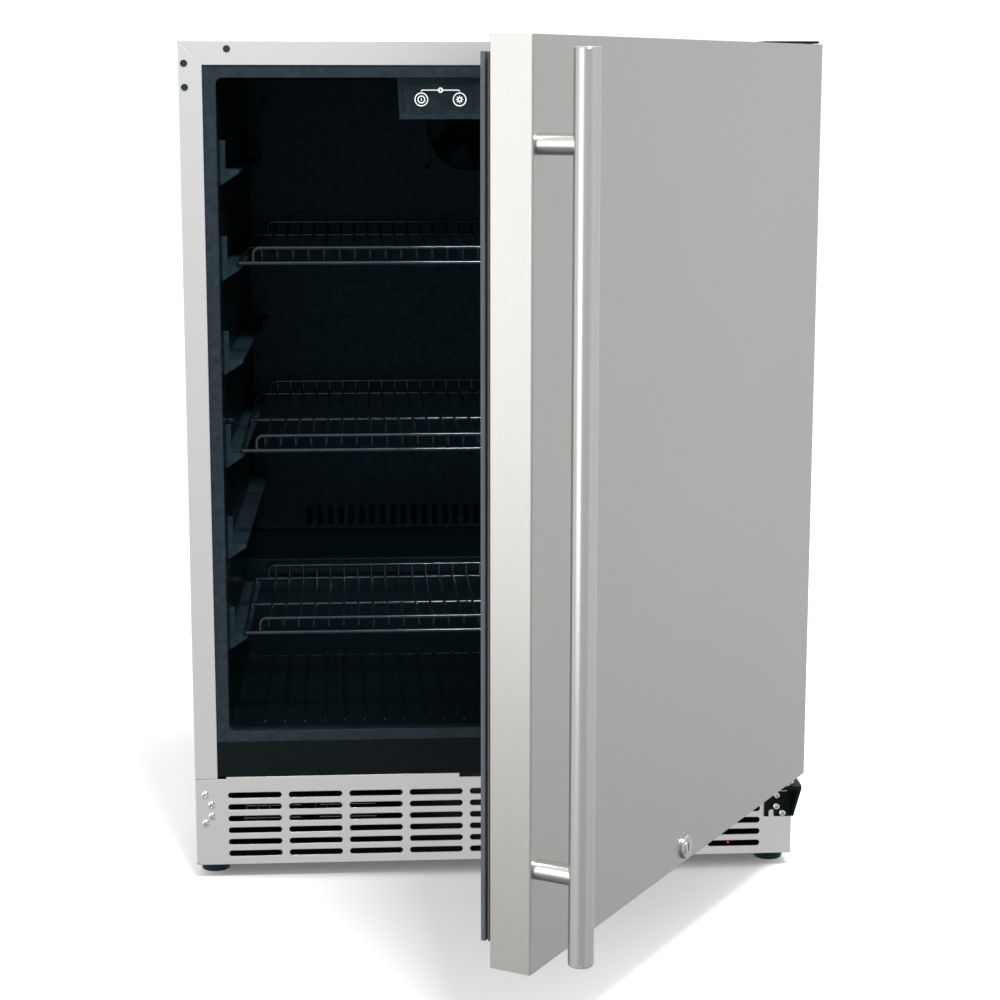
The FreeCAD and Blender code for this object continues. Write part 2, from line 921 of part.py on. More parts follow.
# ---- feet ------------------------------------------------------------------------------------
def foot(x, y):
    """A screw-in levelling foot."""
    pad = Part.makeCone(foot_low_radius, foot_top_radius, foot_height - 3, point(x, y, 0), AXIS_Z)
    disc = rod_z(foot_top_radius, x, y, foot_height - 3, foot_height)
    stem = rod_z(stem_radius, x, y, foot_height, foot_height + stem_length)
    return pad.fuse([disc, stem]).removeSplitter()


def foot_places():
    return {
        "front_left_foot": (-foot_x, foot_from_front),
        "front_right_foot": (foot_x, foot_from_front),
        "rear_left_foot": (-foot_x, foot_rear),
        "rear_right_foot": (foot_x, foot_rear),
    }


def foot_nuts():
    low = foot_height + pan_sheet
    nuts = []
    for x, y in foot_places().values():
        bore = rod_z(stem_radius + running_gap, x, y, 0, FAR)
        nuts.append(hexagon(x, y, low, low + nut_thick, nut_across).cut(bore))
    return Part.makeCompound(nuts)


# ---- hinges ----------------------------------------------------------------------------------
def top_hinge():
    """An angled plate: an L on the front flange and a tab forward over the door."""
    arm_low = height - top_arm_low
    arm = block((top_arm_inner, bracket_edge), (-hinge_plate, 0), (arm_low, height))
    leg = block((side_arm_inner, bracket_edge), (-hinge_plate, 0), (height - side_arm_low, height))
    tab = block(
        (top_arm_inner, bracket_edge),
        (pivot_y - tab_reach, 0),
        (height - top_tab_thick, height),
    )
    corner = [e for e in tab.Edges if e.BoundBox.ZLength > 1 and e.BoundBox.YMax < pivot_y]
    tab = tab.makeFillet(8.0, corner)
    holes = hole_rods(top_hinge_holes, screw_radius, -FAR, FAR)
    pin_hole = rod_z(pin_radius, pivot_x, pivot_y, 0, FAR)
    return arm.fuse([leg, tab]).removeSplitter().cut(holes + [pin_hole])


def bottom_hinge():
    """A plate on the kick plate with a tab under the door and a web down the plate's outer edge."""
    high = low_bracket_high
    under = high - low_tab_thick
    front = pivot_y - low_tab_reach
    edge = low_bracket_edge
    plate = block((low_bracket_inner, edge), (-hinge_plate, 0), (low_bracket_low, high))
    tab = block((low_bracket_inner, edge), (front, 0), (under, high))
    corner = [e for e in tab.Edges if e.BoundBox.ZLength > 1 and e.BoundBox.YMax < pivot_y]
    tab = tab.makeFillet(low_tab_round, corner)
    outline = [
        (-hinge_plate, under),
        (front + low_tab_round, under),
        (-hinge_plate, low_bracket_low),
    ]
    web = prism_x(outline, edge - hinge_plate, edge)
    notch_x = low_bracket_inner + notch_from_edge
    notch = upright_slot(
        notch_x,
        low_bracket_low - notch_radius,
        low_bracket_low + notch_deep + notch_radius,
        2 * notch_radius,
        -FAR,
        FAR,
    )
    holes = hole_rods(low_hinge_holes, screw_radius, -FAR, FAR)
    pin_hole = rod_z(pin_radius, pivot_x, pivot_y, 0, FAR)
    return plate.fuse([tab, web]).removeSplitter().cut(holes + [notch, pin_hole])


def hinge_pins():
    """The lower pin with its flange, washer and collar, and the upper pin."""
    under = low_bracket_high - low_tab_thick
    low_pin = rod_z(pin_radius, pivot_x, pivot_y, under - pin_flange_thick, door_low + bush_length - 2)
    pin_flange = rod_z(pin_flange_radius, pivot_x, pivot_y, under - pin_flange_thick, under)
    washer = rod_z(washer_radius, pivot_x, pivot_y, low_bracket_high, low_bracket_high + washer_thick)
    collar = rod_z(spacer_radius, pivot_x, pivot_y, low_bracket_high, door_low - 0.5)
    high_pin = rod_z(pin_radius, pivot_x, pivot_y, door_high - bush_length + 2, height)
    return Part.makeCompound([low_pin.fuse([pin_flange, washer, collar]), high_pin])


def panel_screws():
    """All the cabinet's panel screws: both hinges, the kick plate's left end and the duct panel."""
    grip = kick_sheet + anchor_thick
    low = [screw(x, z, -hinge_plate, hinge_plate + grip - seam) for x, z in low_hinge_holes]
    high = [screw(x, z, -hinge_plate, hinge_plate + sheet + anchor_thick) for x, z in top_hinge_holes]
    kick = [other_side(screw(x, z, 0, grip - seam)) for x, z in low_hinge_holes]
    duct = [screw(x, z, duct_y, 12) for x, z in duct_screw_places()]
    return Part.makeCompound(low + high + kick + duct)


# ---- door, drawn closed ----------------------------------------------------------------------
def door_bores(grow):
    """What passes through the door's shell: the two hinge bushes and the lock."""
    low = rod_z(bush_radius + grow, pivot_x, pivot_y, door_low - 1, door_low + bush_length)
    high = rod_z(bush_radius + grow, pivot_x, pivot_y, door_high - bush_length, door_high + 1)
    lock = rod_y(barrel_radius + grow, 0, lock_z, door_face - 1, 0)
    return [low, high, lock]


def door_skin():
    outer = block((-door_half, door_half), (door_face, door_back), (door_low, door_high))
    upright = [e for e in outer.Edges if e.BoundBox.ZLength > 10 and e.BoundBox.YMax < door_back - 1]
    outer = outer.makeFillet(1.5, upright)
    inner = block(
        (-door_half + door_sheet, door_half - door_sheet),
        (door_face + door_sheet, door_back + 1),
        (door_low + door_sheet, door_high - door_sheet),
    )
    posts = [rod_y(screw_radius, handle_x, z, door_face - 1, door_back) for z in post_levels]
    return outer.cut([inner] + door_bores(0) + posts)


def door_foam():
    foam = block(
        (-door_half + door_sheet, door_half - door_sheet),
        (door_face + door_sheet, door_back - door_liner_wall),
        (door_low + door_sheet, door_high - door_sheet),
    )
    pockets = [rod_y(screw_head_radius + 0.5, handle_x, z, door_face, door_face + 6) for z in post_levels]
    return foam.cut(door_bores(0) + pockets)


def door_liner():
    """The moulded inner face of the door, raised inside the gasket."""
    plate = block(
        (-door_half + door_sheet, door_half - door_sheet),
        (door_back - door_liner_wall, door_back),
        (door_low + door_sheet, door_high - door_sheet),
    )
    raised = block(
        (-door_half + dyke_inset, door_half - dyke_inset),
        (door_back - door_liner_wall, door_back + dyke_height),
        (door_low + dyke_inset_low, door_high - dyke_inset),
    )
    rim = [e for e in raised.Edges if e.BoundBox.YMin > door_back + dyke_height - 0.5]
    raised = raised.makeChamfer(dyke_height * 0.6, rim)
    dish = block(
        (-door_half + dyke_inset + 26, door_half - dyke_inset - 26),
        (door_back, door_back + dyke_height + 1),
        (door_low + dyke_inset_low + 26, door_high - dyke_inset - 26),
    )
    return plate.fuse(raised).cut([dish] + door_bores(0))


def door_gasket():
    """A ribbed bellows seal that runs all round the inner face, mitred at the corners."""
    near = door_back
    face = -gasket_squeeze
    left = -door_half + gasket_inset_handle
    right = door_half - gasket_inset
    low = door_low + gasket_inset_low
    high = door_high - gasket_inset

    def ring(inset, thick, y0, y1):
        outer = block((left + inset, right - inset), (y0, y1), (low + inset, high - inset))
        deep = inset + thick
        inner = block((left + deep, right - deep), (y0 - 1, y1 + 1), (low + deep, high - deep))
        return outer.cut(inner)

    third = (face - near) / 3
    return ring(3, gasket_width - 8, near, near + third).fuse([
        ring(1, gasket_width - 4, near + third, near + 2 * third - 1),
        ring(3, gasket_width - 8, near + 2 * third - 1, near + 2 * third),
        ring(0, gasket_width, near + 2 * third, face),
    ])


def handle_bar():
    tube = rod_z(handle_radius, handle_x, handle_y, handle_low, handle_high)
    bore = rod_z(handle_radius - handle_wall, handle_x, handle_y, handle_low - 1, handle_high + 1)
    return tube.cut(bore)


def handle_caps():
    bore = handle_radius - handle_wall
    plug = rod_z(bore, handle_x, handle_y, handle_low, handle_low + cap_plug)
    disc = rod_z(handle_radius, handle_x, handle_y, handle_low - 1.5, handle_low)
    rim = [e for e in disc.Edges if abs(e.BoundBox.ZMax - handle_low + 1.5) < 0.01]
    low = plug.fuse(disc.makeChamfer(0.8, rim))
    top_plug = rod_z(bore, handle_x, handle_y, handle_high - cap_plug, handle_high)
    top_disc = rod_z(handle_radius, handle_x, handle_y, handle_high, handle_high + 1.5)
    top_rim = [e for e in top_disc.Edges if abs(e.BoundBox.ZMin - handle_high - 1.5) < 0.01]
    high = top_plug.fuse(top_disc.makeChamfer(0.8, top_rim))
    return Part.makeCompound([low, high])


def handle_posts():
    """The two turned posts, each with a wider foot on the door."""
    bar = rod_z(handle_radius, handle_x, handle_y, handle_low, handle_high)
    posts = []
    for z in post_levels:
        post = rod_y(post_radius, handle_x, z, handle_y, door_face)
        collar = rod_y(collar_radius, handle_x, z, door_face - collar_thick, door_face)
        groove = rod_y(post_radius + 1, handle_x, z, door_face - collar_thick - 0.8, door_face - collar_thick)
        groove = groove.cut(rod_y(post_radius - 0.6, handle_x, z, -FAR, FAR))
        hole = rod_y(screw_radius, handle_x, z, door_face - 12, door_face + 1)
        posts.append(post.fuse(collar).cut([bar, groove, hole]))
    return Part.makeCompound(posts)


def handle_screws():
    screws = []
    for z in post_levels:
        head = rod_y(screw_head_radius, handle_x, z, door_face + door_sheet, door_face + door_sheet + 3)
        screws.append(head.fuse(rod_y(screw_radius, handle_x, z, door_face - 12, door_face + door_sheet)))
    return Part.makeCompound(screws)


def door_bushes():
    bushes = []
    for low in (door_low, door_high - bush_length):
        bush = rod_z(bush_radius, pivot_x, pivot_y, low, low + bush_length)
        bushes.append(bush.cut(rod_z(pin_radius + running_gap, pivot_x, pivot_y, 0, FAR)))
    return Part.makeCompound(bushes)


def lock_barrel():
    """The fixed cylinder of the door lock with its round rosette."""
    rosette = rod_y(rosette_radius, 0, lock_z, door_face - rosette_thick, door_face)
    rim = [e for e in rosette.Edges if abs(e.BoundBox.YMax - door_face + rosette_thick) < 0.01]
    rosette = rosette.makeChamfer(1.2, rim)
    barrel = rod_y(barrel_radius, 0, lock_z, door_face, door_back)
    bore = rod_y(plug_radius + running_gap, 0, lock_z, -FAR, FAR)
    return rosette.fuse(barrel).cut(bore)


def lock_plug():
    """The turning core of the lock, with its key slot, tail and cam."""
    near = door_face - rosette_thick - 0.5
    plug = rod_y(plug_radius, 0, lock_z, near, door_back)
    key = block((-0.9, 0.9), (near - 1, near + 8), (lock_z - 4, lock_z + 4))
    tail = rod_y(tail_radius, 0, lock_z, door_back, tail_reach)
    reach = cam_length - cam_half_width
    span = (cam_near, cam_near + cam_thick)
    arm = block((0, reach), span, (lock_z - cam_half_width, lock_z + cam_half_width))
    tip = rod_y(cam_half_width, reach, lock_z, cam_near, cam_near + cam_thick)
    boss = rod_y(cam_half_width, 0, lock_z, cam_near, cam_near + cam_thick)
    return plug.cut(key).fuse([tail, arm, tip, boss]).removeSplitter()


# ---- refrigeration machinery -----------------------------------------------------------------
pan_top = foot_height + pan_sheet
mount_high = pan_top + 10.0


def compressor():
    r = compressor_radius
    low = mount_high + 3
    high = low + compressor_high
    shell = rod_z(r, compressor_x, compressor_y, low, high)
    rims = [e for e in shell.Edges if e.Length > 6 * r * 0.9 and e.BoundBox.ZLength < 0.1]
    shell = shell.makeFillet(r * 0.45, rims)
    plate = block(
        (compressor_x - r - 12, compressor_x + r + 12),
        (compressor_y - r * 0.8, compressor_y + r * 0.8),
        (mount_high, mount_high + 3),
    )
    holes = [rod_z(4.2, x, y, 0, FAR) for x, y in grommet_places()]
    neck = rod_z(5.0, compressor_x + r * 0.3, compressor_y, high - 6, high + 4)
    return plate.cut(holes).fuse([shell.cut(block((-FAR, FAR), (-FAR, FAR), (0, low))), neck])


def grommet_places():
    x = compressor_radius
    y = compressor_radius * 0.66
    corners = ((-x, -y), (x, -y), (-x, y), (x, y))
    return [(compressor_x + a, compressor_y + b) for a, b in corners]


def compressor_grommets():
    """The rubber mounts under the compressor's base plate."""
    grommets = []
    for x, y in grommet_places():
        body = rod_z(8.0, x, y, pan_top, mount_high).fuse(rod_z(4.2, x, y, mount_high, mount_high + 6))
        grommets.append(body)
    return Part.makeCompound(grommets)


def terminal_cover():
    """The cover over the compressor's electrical terminals, on its left side."""
    x = compressor_x - compressor_radius
    box = block((x - 24, x + 20), (compressor_y - 26, compressor_y + 26), (mount_high + 40, mount_high + 90))
    box = box.makeFillet(4.0, box.Edges)
    return box.cut(rod_z(compressor_radius + seam, compressor_x, compressor_y, 0, FAR))


def condenser():
    """A serpentine of three rows with thin fins, just behind the left of the kick plate."""
    y0 = condenser_front
    rows = 6
    pitch = (condenser_high - condenser_low - 16) / (rows - 1)
    corners = []
    for i in range(rows):
        side = 1 if i % 2 else -1
        z = condenser_low + 8 + pitch * i
        corners += [
            point(condenser_x - side * condenser_half, y0 + condenser_depth / 2, z),
            point(condenser_x + side * condenser_half, y0 + condenser_depth / 2, z),
        ]
    coil = pipe(tube_radius, corners, pitch * 0.48)
    fins = []
    for x in centred(int(2 * (condenser_half - 14) / fin_pitch) + 1, fin_pitch):
        fins.append(block(
            (condenser_x + x - fin_thick / 2, condenser_x + x + fin_thick / 2),
            (y0, y0 + condenser_depth),
            (condenser_low, condenser_high),
        ))
    return coil.fuse(fins)


fan_frame_y = condenser_front + condenser_depth + 12.0
fan_frame_z = (condenser_low + condenser_high) / 2
wheel_radius = 34.0


def condenser_fan_frame():
    near = fan_frame_y
    far = near + 25
    side = wheel_radius + 3
    span = ((condenser_x - side, condenser_x + side), (near, far), (fan_frame_z - side, fan_frame_z + side))
    frame = block(*span).cut(rod_y(wheel_radius + 1.5, condenser_x, fan_frame_z, 0, FAR))
    hub = rod_y(15.0, condenser_x, fan_frame_z, far - 10, far)
    reach = side - 1
    across = (condenser_x - reach, condenser_x + reach)
    upright = (fan_frame_z - reach, fan_frame_z + reach)
    arms = [
        block(across, (far - 3, far), (fan_frame_z - 2, fan_frame_z + 2)),
        block((condenser_x - 2, condenser_x + 2), (far - 3, far), upright),
    ]
    axle = rod_y(2.0, condenser_x, fan_frame_z, near + 2, far)
    foot_plate = block((condenser_x - side, condenser_x + side), (near, far), (pan_top, fan_frame_z - side))
    return frame.fuse([hub] + arms + [axle, foot_plate])


def condenser_fan():
    return bladed_wheel(wheel_radius, 13.0, 7, condenser_x, fan_frame_z, fan_frame_y + 3, 9, 2.0)


def drip_tray():
    """The tray over the compressor that evaporates the defrost water."""
    low = machine_top - 34
    long = (machine_front + 40, depth - 30)
    outer = block((drain_x - 60, drain_x + 70), long, (low, low + 22))
    inner = block((drain_x - 58, drain_x + 68), (long[0] + 2, long[1] - 2), (low + 2, low + 30))
    return outer.cut(inner)


def refrigerant_pipes():
    """The suction line, and the liquid line with the filter drier brazed into it."""
    suction_z = pan_top + 60
    liquid_z = pan_top + 30
    side_x = compressor_x + compressor_radius
    suction = pipe(pipe_radius, [
        point(suction_x, pipe_y, hump_high + 20),
        point(suction_x, pipe_y, suction_z),
        point(side_x + suction_gap, pipe_y, suction_z),
        point(side_x + suction_gap, compressor_y, suction_z),
        point(side_x, compressor_y, suction_z),
    ], pipe_bend)
    drier_y = machine_front + drier_from_front
    drier_end = feed_x - drier_gap
    drier_start = drier_end - drier_length
    drier = rod(drier_radius, point(drier_start, drier_y, liquid_z), point(drier_end, drier_y, liquid_z))
    ends = [e for e in drier.Edges if e.BoundBox.XLength < 0.1]
    liquid = pipe(pipe_radius * 0.6, [
        point(drier_end - 1, drier_y, liquid_z),
        point(feed_x, drier_y, liquid_z),
        point(feed_x, pipe_y, liquid_z),
        point(feed_x, pipe_y, hump_high + 20),
    ], pipe_bend).fuse(drier.makeFillet(drier_radius * 0.45, ends))
    return Part.makeCompound([suction, liquid])


def control_box():
    """The power board's box behind the right of the kick plate."""
    x = (half - box_from_side - box_wide, half - box_from_side)
    y = (box_front, box_front + box_deep)
    t = box_wall
    outer = block(x, y, (pan_top, pan_top + box_tall))
    upright = [e for e in outer.Edges if e.BoundBox.ZLength > 10]
    inner = block((x[0] + t, x[1] - t), (y[0] + t, y[1] - t), (pan_top - 1, pan_top + box_tall - t))
    lamp = rod_y(lamp_radius, lamp_x, lamp_z, 0, box_front + 10)
    return outer.makeFillet(4.0, upright).cut([inner, lamp])


def indicator_lamp():
    """The red running lamp behind the grille."""
    lamp = rod_y(lamp_radius, lamp_x, lamp_z, lamp_front + lamp_radius, box_front)
    return lamp.fuse(Part.makeSphere(lamp_radius, point(lamp_x, lamp_front + lamp_radius, lamp_z)))


# ---- output ----------------------------------------------------------------------------------
def swung(shape):
    """A piece of the door, turned to the angle at which the door stands."""
    turned = shape.copy()
    turned.rotate(point(pivot_x, pivot_y, 0), AXIS_Z, door_rest_angle)
    return turned


def build():
    levels = ledge_levels()
    upper_level = len(levels) - 2
    middle_level = upper_level // 2
    full_shelf = shelf(duct_y - shelf_rear_gap)
    short_shelf = shelf(hump_front - low_shelf_rear_gap)
    nodes = {
        "left_side_panel": other_side(right_side()),
        "right_side_panel": right_side(),
        "top_panel": top_panel(),
        "rear_panel": rear_panel(),
        "bottom_plate": bottom_plate(),
        "base_pan": base_pan(),
        "machine_cover": machine_cover(),
        "cord_gland": cord_gland(),
        "kick_plate": kick_plate(),
        "hinge_anchors": hinge_anchors(),
        "hinge_hole_plugs": flange_plugs(),
        "insulation_foam": insulation_foam(),
        "inner_liner": inner_liner(),
        "front_crossbar": front_crossbar(),
        "shelf_runners": shelf_runners(),
        "lower_shelf": short_shelf.translated(AXIS_Z * levels[0]),
        "middle_shelf": full_shelf.translated(AXIS_Z * levels[middle_level]),
        "upper_shelf": full_shelf.translated(AXIS_Z * levels[upper_level]),
        "rear_duct_panel": duct_panel(),
        "fan_motor": fan_motor(),
        "circulation_fan": circulation_fan(),
        "evaporator": evaporator(),
        "control_housing": control_housing(),
        "control_overlay": control_overlay(),
        "control_board": control_board(),
        "light_lens": light_lens(),
        "foot_nuts": foot_nuts(),
        "top_hinge_bracket": top_hinge(),
        "bottom_hinge_bracket": bottom_hinge(),
        "hinge_pins": hinge_pins(),
        "panel_screws": panel_screws(),
        "compressor": compressor(),
        "compressor_grommets": compressor_grommets(),
        "terminal_cover": terminal_cover(),
        "condenser": condenser(),
        "condenser_fan_frame": condenser_fan_frame(),
        "condenser_fan": condenser_fan(),
        "drip_tray": drip_tray(),
        "refrigerant_pipes": refrigerant_pipes(),
        "control_box": control_box(),
        "indicator_lamp": indicator_lamp(),
    }
    for name, (x, y) in foot_places().items():
        nodes[name] = foot(x, y)
    for name, x in button_places().items():
        nodes[name] = button(x)
    door = {
        "door_skin": door_skin(),
        "door_foam": door_foam(),
        "door_liner": door_liner(),
        "door_gasket": door_gasket(),
        "handle_bar": handle_bar(),
        "handle_caps": handle_caps(),
        "handle_posts": handle_posts(),
        "handle_screws": handle_screws(),
        "door_bushes": door_bushes(),
        "lock_barrel": lock_barrel(),
        "lock_plug": lock_plug(),
    }
    for name, shape in door.items():
        nodes[name] = swung(shape)
    return nodes


for name, shape in build().items():
    shape.exportStep("parts/" + name + ".step")
    print(name, len(shape.Solids), "solids", round(shape.Volume / 1000, 1), "cm3", shape.isValid())
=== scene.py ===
import json
import math

import bmesh
import bpy
from mathutils import Matrix, Vector


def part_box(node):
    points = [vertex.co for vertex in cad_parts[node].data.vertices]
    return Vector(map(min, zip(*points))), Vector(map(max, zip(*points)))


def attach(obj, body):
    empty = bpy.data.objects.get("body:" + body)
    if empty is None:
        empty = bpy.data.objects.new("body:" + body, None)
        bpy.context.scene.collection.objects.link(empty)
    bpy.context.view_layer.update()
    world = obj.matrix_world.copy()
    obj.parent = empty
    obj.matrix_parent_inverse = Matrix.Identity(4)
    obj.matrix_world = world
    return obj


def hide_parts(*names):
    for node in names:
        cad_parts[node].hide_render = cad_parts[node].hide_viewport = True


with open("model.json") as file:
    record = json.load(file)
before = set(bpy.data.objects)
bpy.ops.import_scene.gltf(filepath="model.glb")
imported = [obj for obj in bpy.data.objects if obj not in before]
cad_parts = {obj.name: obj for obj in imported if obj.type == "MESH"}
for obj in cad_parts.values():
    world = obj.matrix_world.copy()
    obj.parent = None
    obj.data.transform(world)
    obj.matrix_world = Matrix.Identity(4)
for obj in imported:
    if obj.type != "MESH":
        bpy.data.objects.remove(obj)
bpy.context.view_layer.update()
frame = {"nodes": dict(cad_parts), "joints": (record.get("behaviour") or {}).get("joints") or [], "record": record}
nodes = frame["nodes"]
joints = {j["name"]: j for j in frame["joints"]}
MM = 0.001


# ---- the door's own frame: the door as it is when shut -------------------------------------------
swing = joints["door_swing"]
swing_pivot = Vector(swing["pos_m"])
rest_angle = -math.radians(swing["range_deg"][0])
open_door = (
    Matrix.Translation(swing_pivot)
    @ Matrix.Rotation(rest_angle, 4, "Z")
    @ Matrix.Translation(-swing_pivot)
)
shut_door = open_door.inverted()


def shut_box(node):
    """The lowest and highest corner of a door piece, as if the door were shut."""
    places = [shut_door @ v.co for v in nodes[node].data.vertices]
    low = Vector(tuple(min(p[i] for p in places) for i in range(3)))
    high = Vector(tuple(max(p[i] for p in places) for i in range(3)))
    return low, high


# ---- material building blocks --------------------------------------------------------------------
white = (1.0, 1.0, 1.0)
cold_sheen = (0.35, 0.72, 0.90)
wire_sheen = (0.70, 0.88, 1.00)


def toned(colour, amount):
    """A lighter or darker shade of a colour."""
    return tuple(c * amount for c in colour)


def even(scale):
    """The same scale along all three axes."""
    return (scale, scale, scale)


class Paint:
    """A material with a Principled shader and short calls for the nodes in front of it."""

    def __init__(self, name, colour, metallic=0.0, roughness=0.5, specular=0.5, sheen=white):
        self.material = bpy.data.materials.new(name)
        self.material.use_nodes = True
        self.tree = self.material.node_tree
        self.shader = self.tree.nodes["Principled BSDF"]
        self.set("Base Color", (*colour, 1.0))
        self.set("Metallic", metallic)
        self.set("Roughness", roughness)
        self.set("Specular IOR Level", specular)
        self.set("Specular Tint", (*sheen, 1.0))
        self.coordinates = self.tree.nodes.new("ShaderNodeTexCoord").outputs["Object"]

    def set(self, socket, value):
        self.shader.inputs[socket].default_value = value

    def link(self, output, target):
        self.tree.links.new(output, target)

    def glow(self, colour, strength):
        self.set("Emission Color", (*colour, 1.0))
        self.set("Emission Strength", strength)

    def beyond(self, axis, start, end):
        """0 before start and 1 after end along an axis of the object, in metres."""
        split = self.tree.nodes.new("ShaderNodeSeparateXYZ")
        self.link(self.coordinates, split.inputs["Vector"])
        return self.span(split.outputs[axis], 0.0, 1.0, start, end)

    def mixed(self, factor, first, second):
        """A colour between two, each a colour or the output of another node."""
        mix = self.tree.nodes.new("ShaderNodeMix")
        mix.data_type = "RGBA"
        self.link(factor, mix.inputs["Factor"])
        for end, socket in ((first, mix.inputs[6]), (second, mix.inputs[7])):
            if isinstance(end, tuple):
                socket.default_value = (*end, 1.0)
            else:
                self.link(end, socket)
        return mix.outputs[2]

    def noise(self, scale, detail, roughness):
        """Noise with its own scale along each axis of the object."""
        scaled = self.tree.nodes.new("ShaderNodeMapping")
        scaled.inputs["Scale"].default_value = scale
        self.link(self.coordinates, scaled.inputs["Vector"])
        node = self.tree.nodes.new("ShaderNodeTexNoise")
        node.inputs["Scale"].default_value = 1.0
        node.inputs["Detail"].default_value = detail
        node.inputs["Roughness"].default_value = roughness
        self.link(scaled.outputs["Vector"], node.inputs["Vector"])
        return node.outputs["Fac"]

    def cells(self, scale):
        node = self.tree.nodes.new("ShaderNodeTexVoronoi")
        node.inputs["Scale"].default_value = scale
        self.link(self.coordinates, node.inputs["Vector"])
        return node

    def span(self, output, low, high, start=0.3, end=0.7):
        """A value carried from start..end to low..high."""
        node = self.tree.nodes.new("ShaderNodeMapRange")
        node.inputs["From Min"].default_value = start
        node.inputs["From Max"].default_value = end
        node.inputs["To Min"].default_value = low
        node.inputs["To Max"].default_value = high
        self.link(output, node.inputs["Value"])
        return node.outputs["Result"]

    def shades(self, output, dark, light, start=0.3, end=0.7):
        """The base colour, from dark to light as a value goes from start to end."""
        node = self.tree.nodes.new("ShaderNodeValToRGB")
        first, last = node.color_ramp.elements
        first.position = start
        first.color = (*dark, 1.0)
        last.position = end
        last.color = (*light, 1.0)
        self.link(output, node.inputs["Fac"])
        self.link(node.outputs["Color"], self.shader.inputs["Base Color"])

    def rough(self, output, low, high, start=0.3, end=0.7):
        """The roughness, from low to high as a value goes from start to end."""
        self.link(self.span(output, low, high, start, end), self.shader.inputs["Roughness"])

    def bumps(self, layers, edge=0.0):
        """Bump layers, each (output, strength, distance in mm), over edges rounded by edge mm."""
        normal = None
        if edge:
            bevel = self.tree.nodes.new("ShaderNodeBevel")
            bevel.samples = 4
            bevel.inputs["Radius"].default_value = edge * MM
            normal = bevel.outputs["Normal"]
        for output, strength, distance in layers:
            bump = self.tree.nodes.new("ShaderNodeBump")
            bump.inputs["Strength"].default_value = strength
            bump.inputs["Distance"].default_value = distance * MM
            self.link(output, bump.inputs["Height"])
            if normal:
                self.link(normal, bump.inputs["Normal"])
            normal = bump.outputs["Normal"]
        if normal:
            self.link(normal, self.shader.inputs["Normal"])


# ---- kinds of material ---------------------------------------------------------------------------
def brushed(name, colour, roughness, grain, contrast=0.04):
    """Brushed stainless. grain is the scale along each axis: small along the brushing."""
    paint = Paint(name, colour, metallic=1.0, roughness=roughness)
    fine = paint.noise(grain, 4.0, 0.7)
    broad = paint.noise((3.0, 3.0, 2.0), 2.0, 0.5)
    paint.shades(fine, toned(colour, 1.0 - contrast), toned(colour, 1.0 + contrast))
    paint.rough(broad, roughness - 0.03, roughness + 0.04)
    paint.bumps([(fine, 0.04, 0.02)], 0.6)
    return paint.material


def casing_sheet(name, colour, plain, grain):
    """Brushed sheet with a polished front flange and a duller, darker finish behind it."""
    flange_roughness = 0.32
    sheet_roughness = 0.42
    paint = Paint(name, colour, metallic=1.0, roughness=flange_roughness)
    fine = paint.noise(grain, 4.0, 0.7)
    behind = paint.beyond("Y", 3 * MM, 6 * MM)
    flange = paint.mixed(fine, toned(colour, 0.98), toned(colour, 1.02))
    sheet = paint.mixed(fine, toned(plain, 0.95), toned(plain, 1.05))
    paint.link(paint.mixed(behind, flange, sheet), paint.shader.inputs["Base Color"])
    paint.rough(behind, flange_roughness, sheet_roughness, 0.0, 1.0)
    paint.bumps([(fine, 0.04, 0.02)], 0.6)
    return paint.material


def moulded(name, colour, roughness, mottle, specular, edge=0.8, sheen=cold_sheen):
    """Moulded plastic with a fine grained skin, mottled by its grain."""
    paint = Paint(name, colour, roughness=roughness, specular=specular, sheen=sheen)
    fine = paint.noise(even(700.0), 2.0, 0.6)
    broad = paint.noise(even(120.0), 5.0, 0.75)
    paint.shades(broad, toned(colour, 1.0 - mottle), toned(colour, 1.0 + mottle), 0.35, 0.65)
    paint.rough(fine, roughness - 0.06, roughness + 0.08)
    paint.bumps([(fine, 0.2, 0.1)], edge)
    return paint.material


def liner_plastic(name, rim, inner):
    """Grained sheet, paler round the mouth than in the deep walls: the darker deep walls are painted shade."""
    paint = Paint(name, inner, roughness=0.3, specular=0.22, sheen=cold_sheen)
    # Painted shade: from 3 to 20 mm deep in y the colour goes from the rim's to the darker inner one.
    deep = paint.beyond("Y", 3 * MM, 20 * MM)
    mottle = paint.span(paint.noise(even(120.0), 5.0, 0.75), 0.0, 1.0, 0.35, 0.65)
    fine = paint.noise(even(700.0), 2.0, 0.6)
    pale = paint.mixed(mottle, toned(rim, 0.7), toned(rim, 1.3))
    dark = paint.mixed(mottle, toned(inner, 0.75), toned(inner, 1.25))
    paint.link(paint.mixed(deep, pale, dark), paint.shader.inputs["Base Color"])
    paint.rough(fine, 0.25, 0.36)
    paint.bumps([(fine, 0.12, 0.05)], 1.4)
    return paint.material


def powder_coat(name, colour, roughness=0.5, specular=0.2):
    """Baked powder paint: a fine orange peel."""
    paint = Paint(name, colour, roughness=roughness, specular=specular)
    peel = paint.noise(even(450.0), 2.0, 0.5)
    broad = paint.noise(even(90.0), 4.0, 0.7)
    paint.shades(broad, toned(colour, 0.75), toned(colour, 1.25))
    paint.rough(peel, roughness - 0.06, roughness + 0.08)
    paint.bumps([(peel, 0.25, 0.15)], 0.7)
    return paint.material


def galvanised(name, colour):
    """Zinc-coated sheet with its spangle."""
    paint = Paint(name, colour, metallic=1.0)
    spangle = paint.cells(70.0).outputs["Color"]
    paint.shades(spangle, toned(colour, 0.82), colour, 0.2, 0.8)
    paint.rough(spangle, 0.34, 0.52, 0.2, 0.8)
    paint.bumps([], 0.5)
    return paint.material


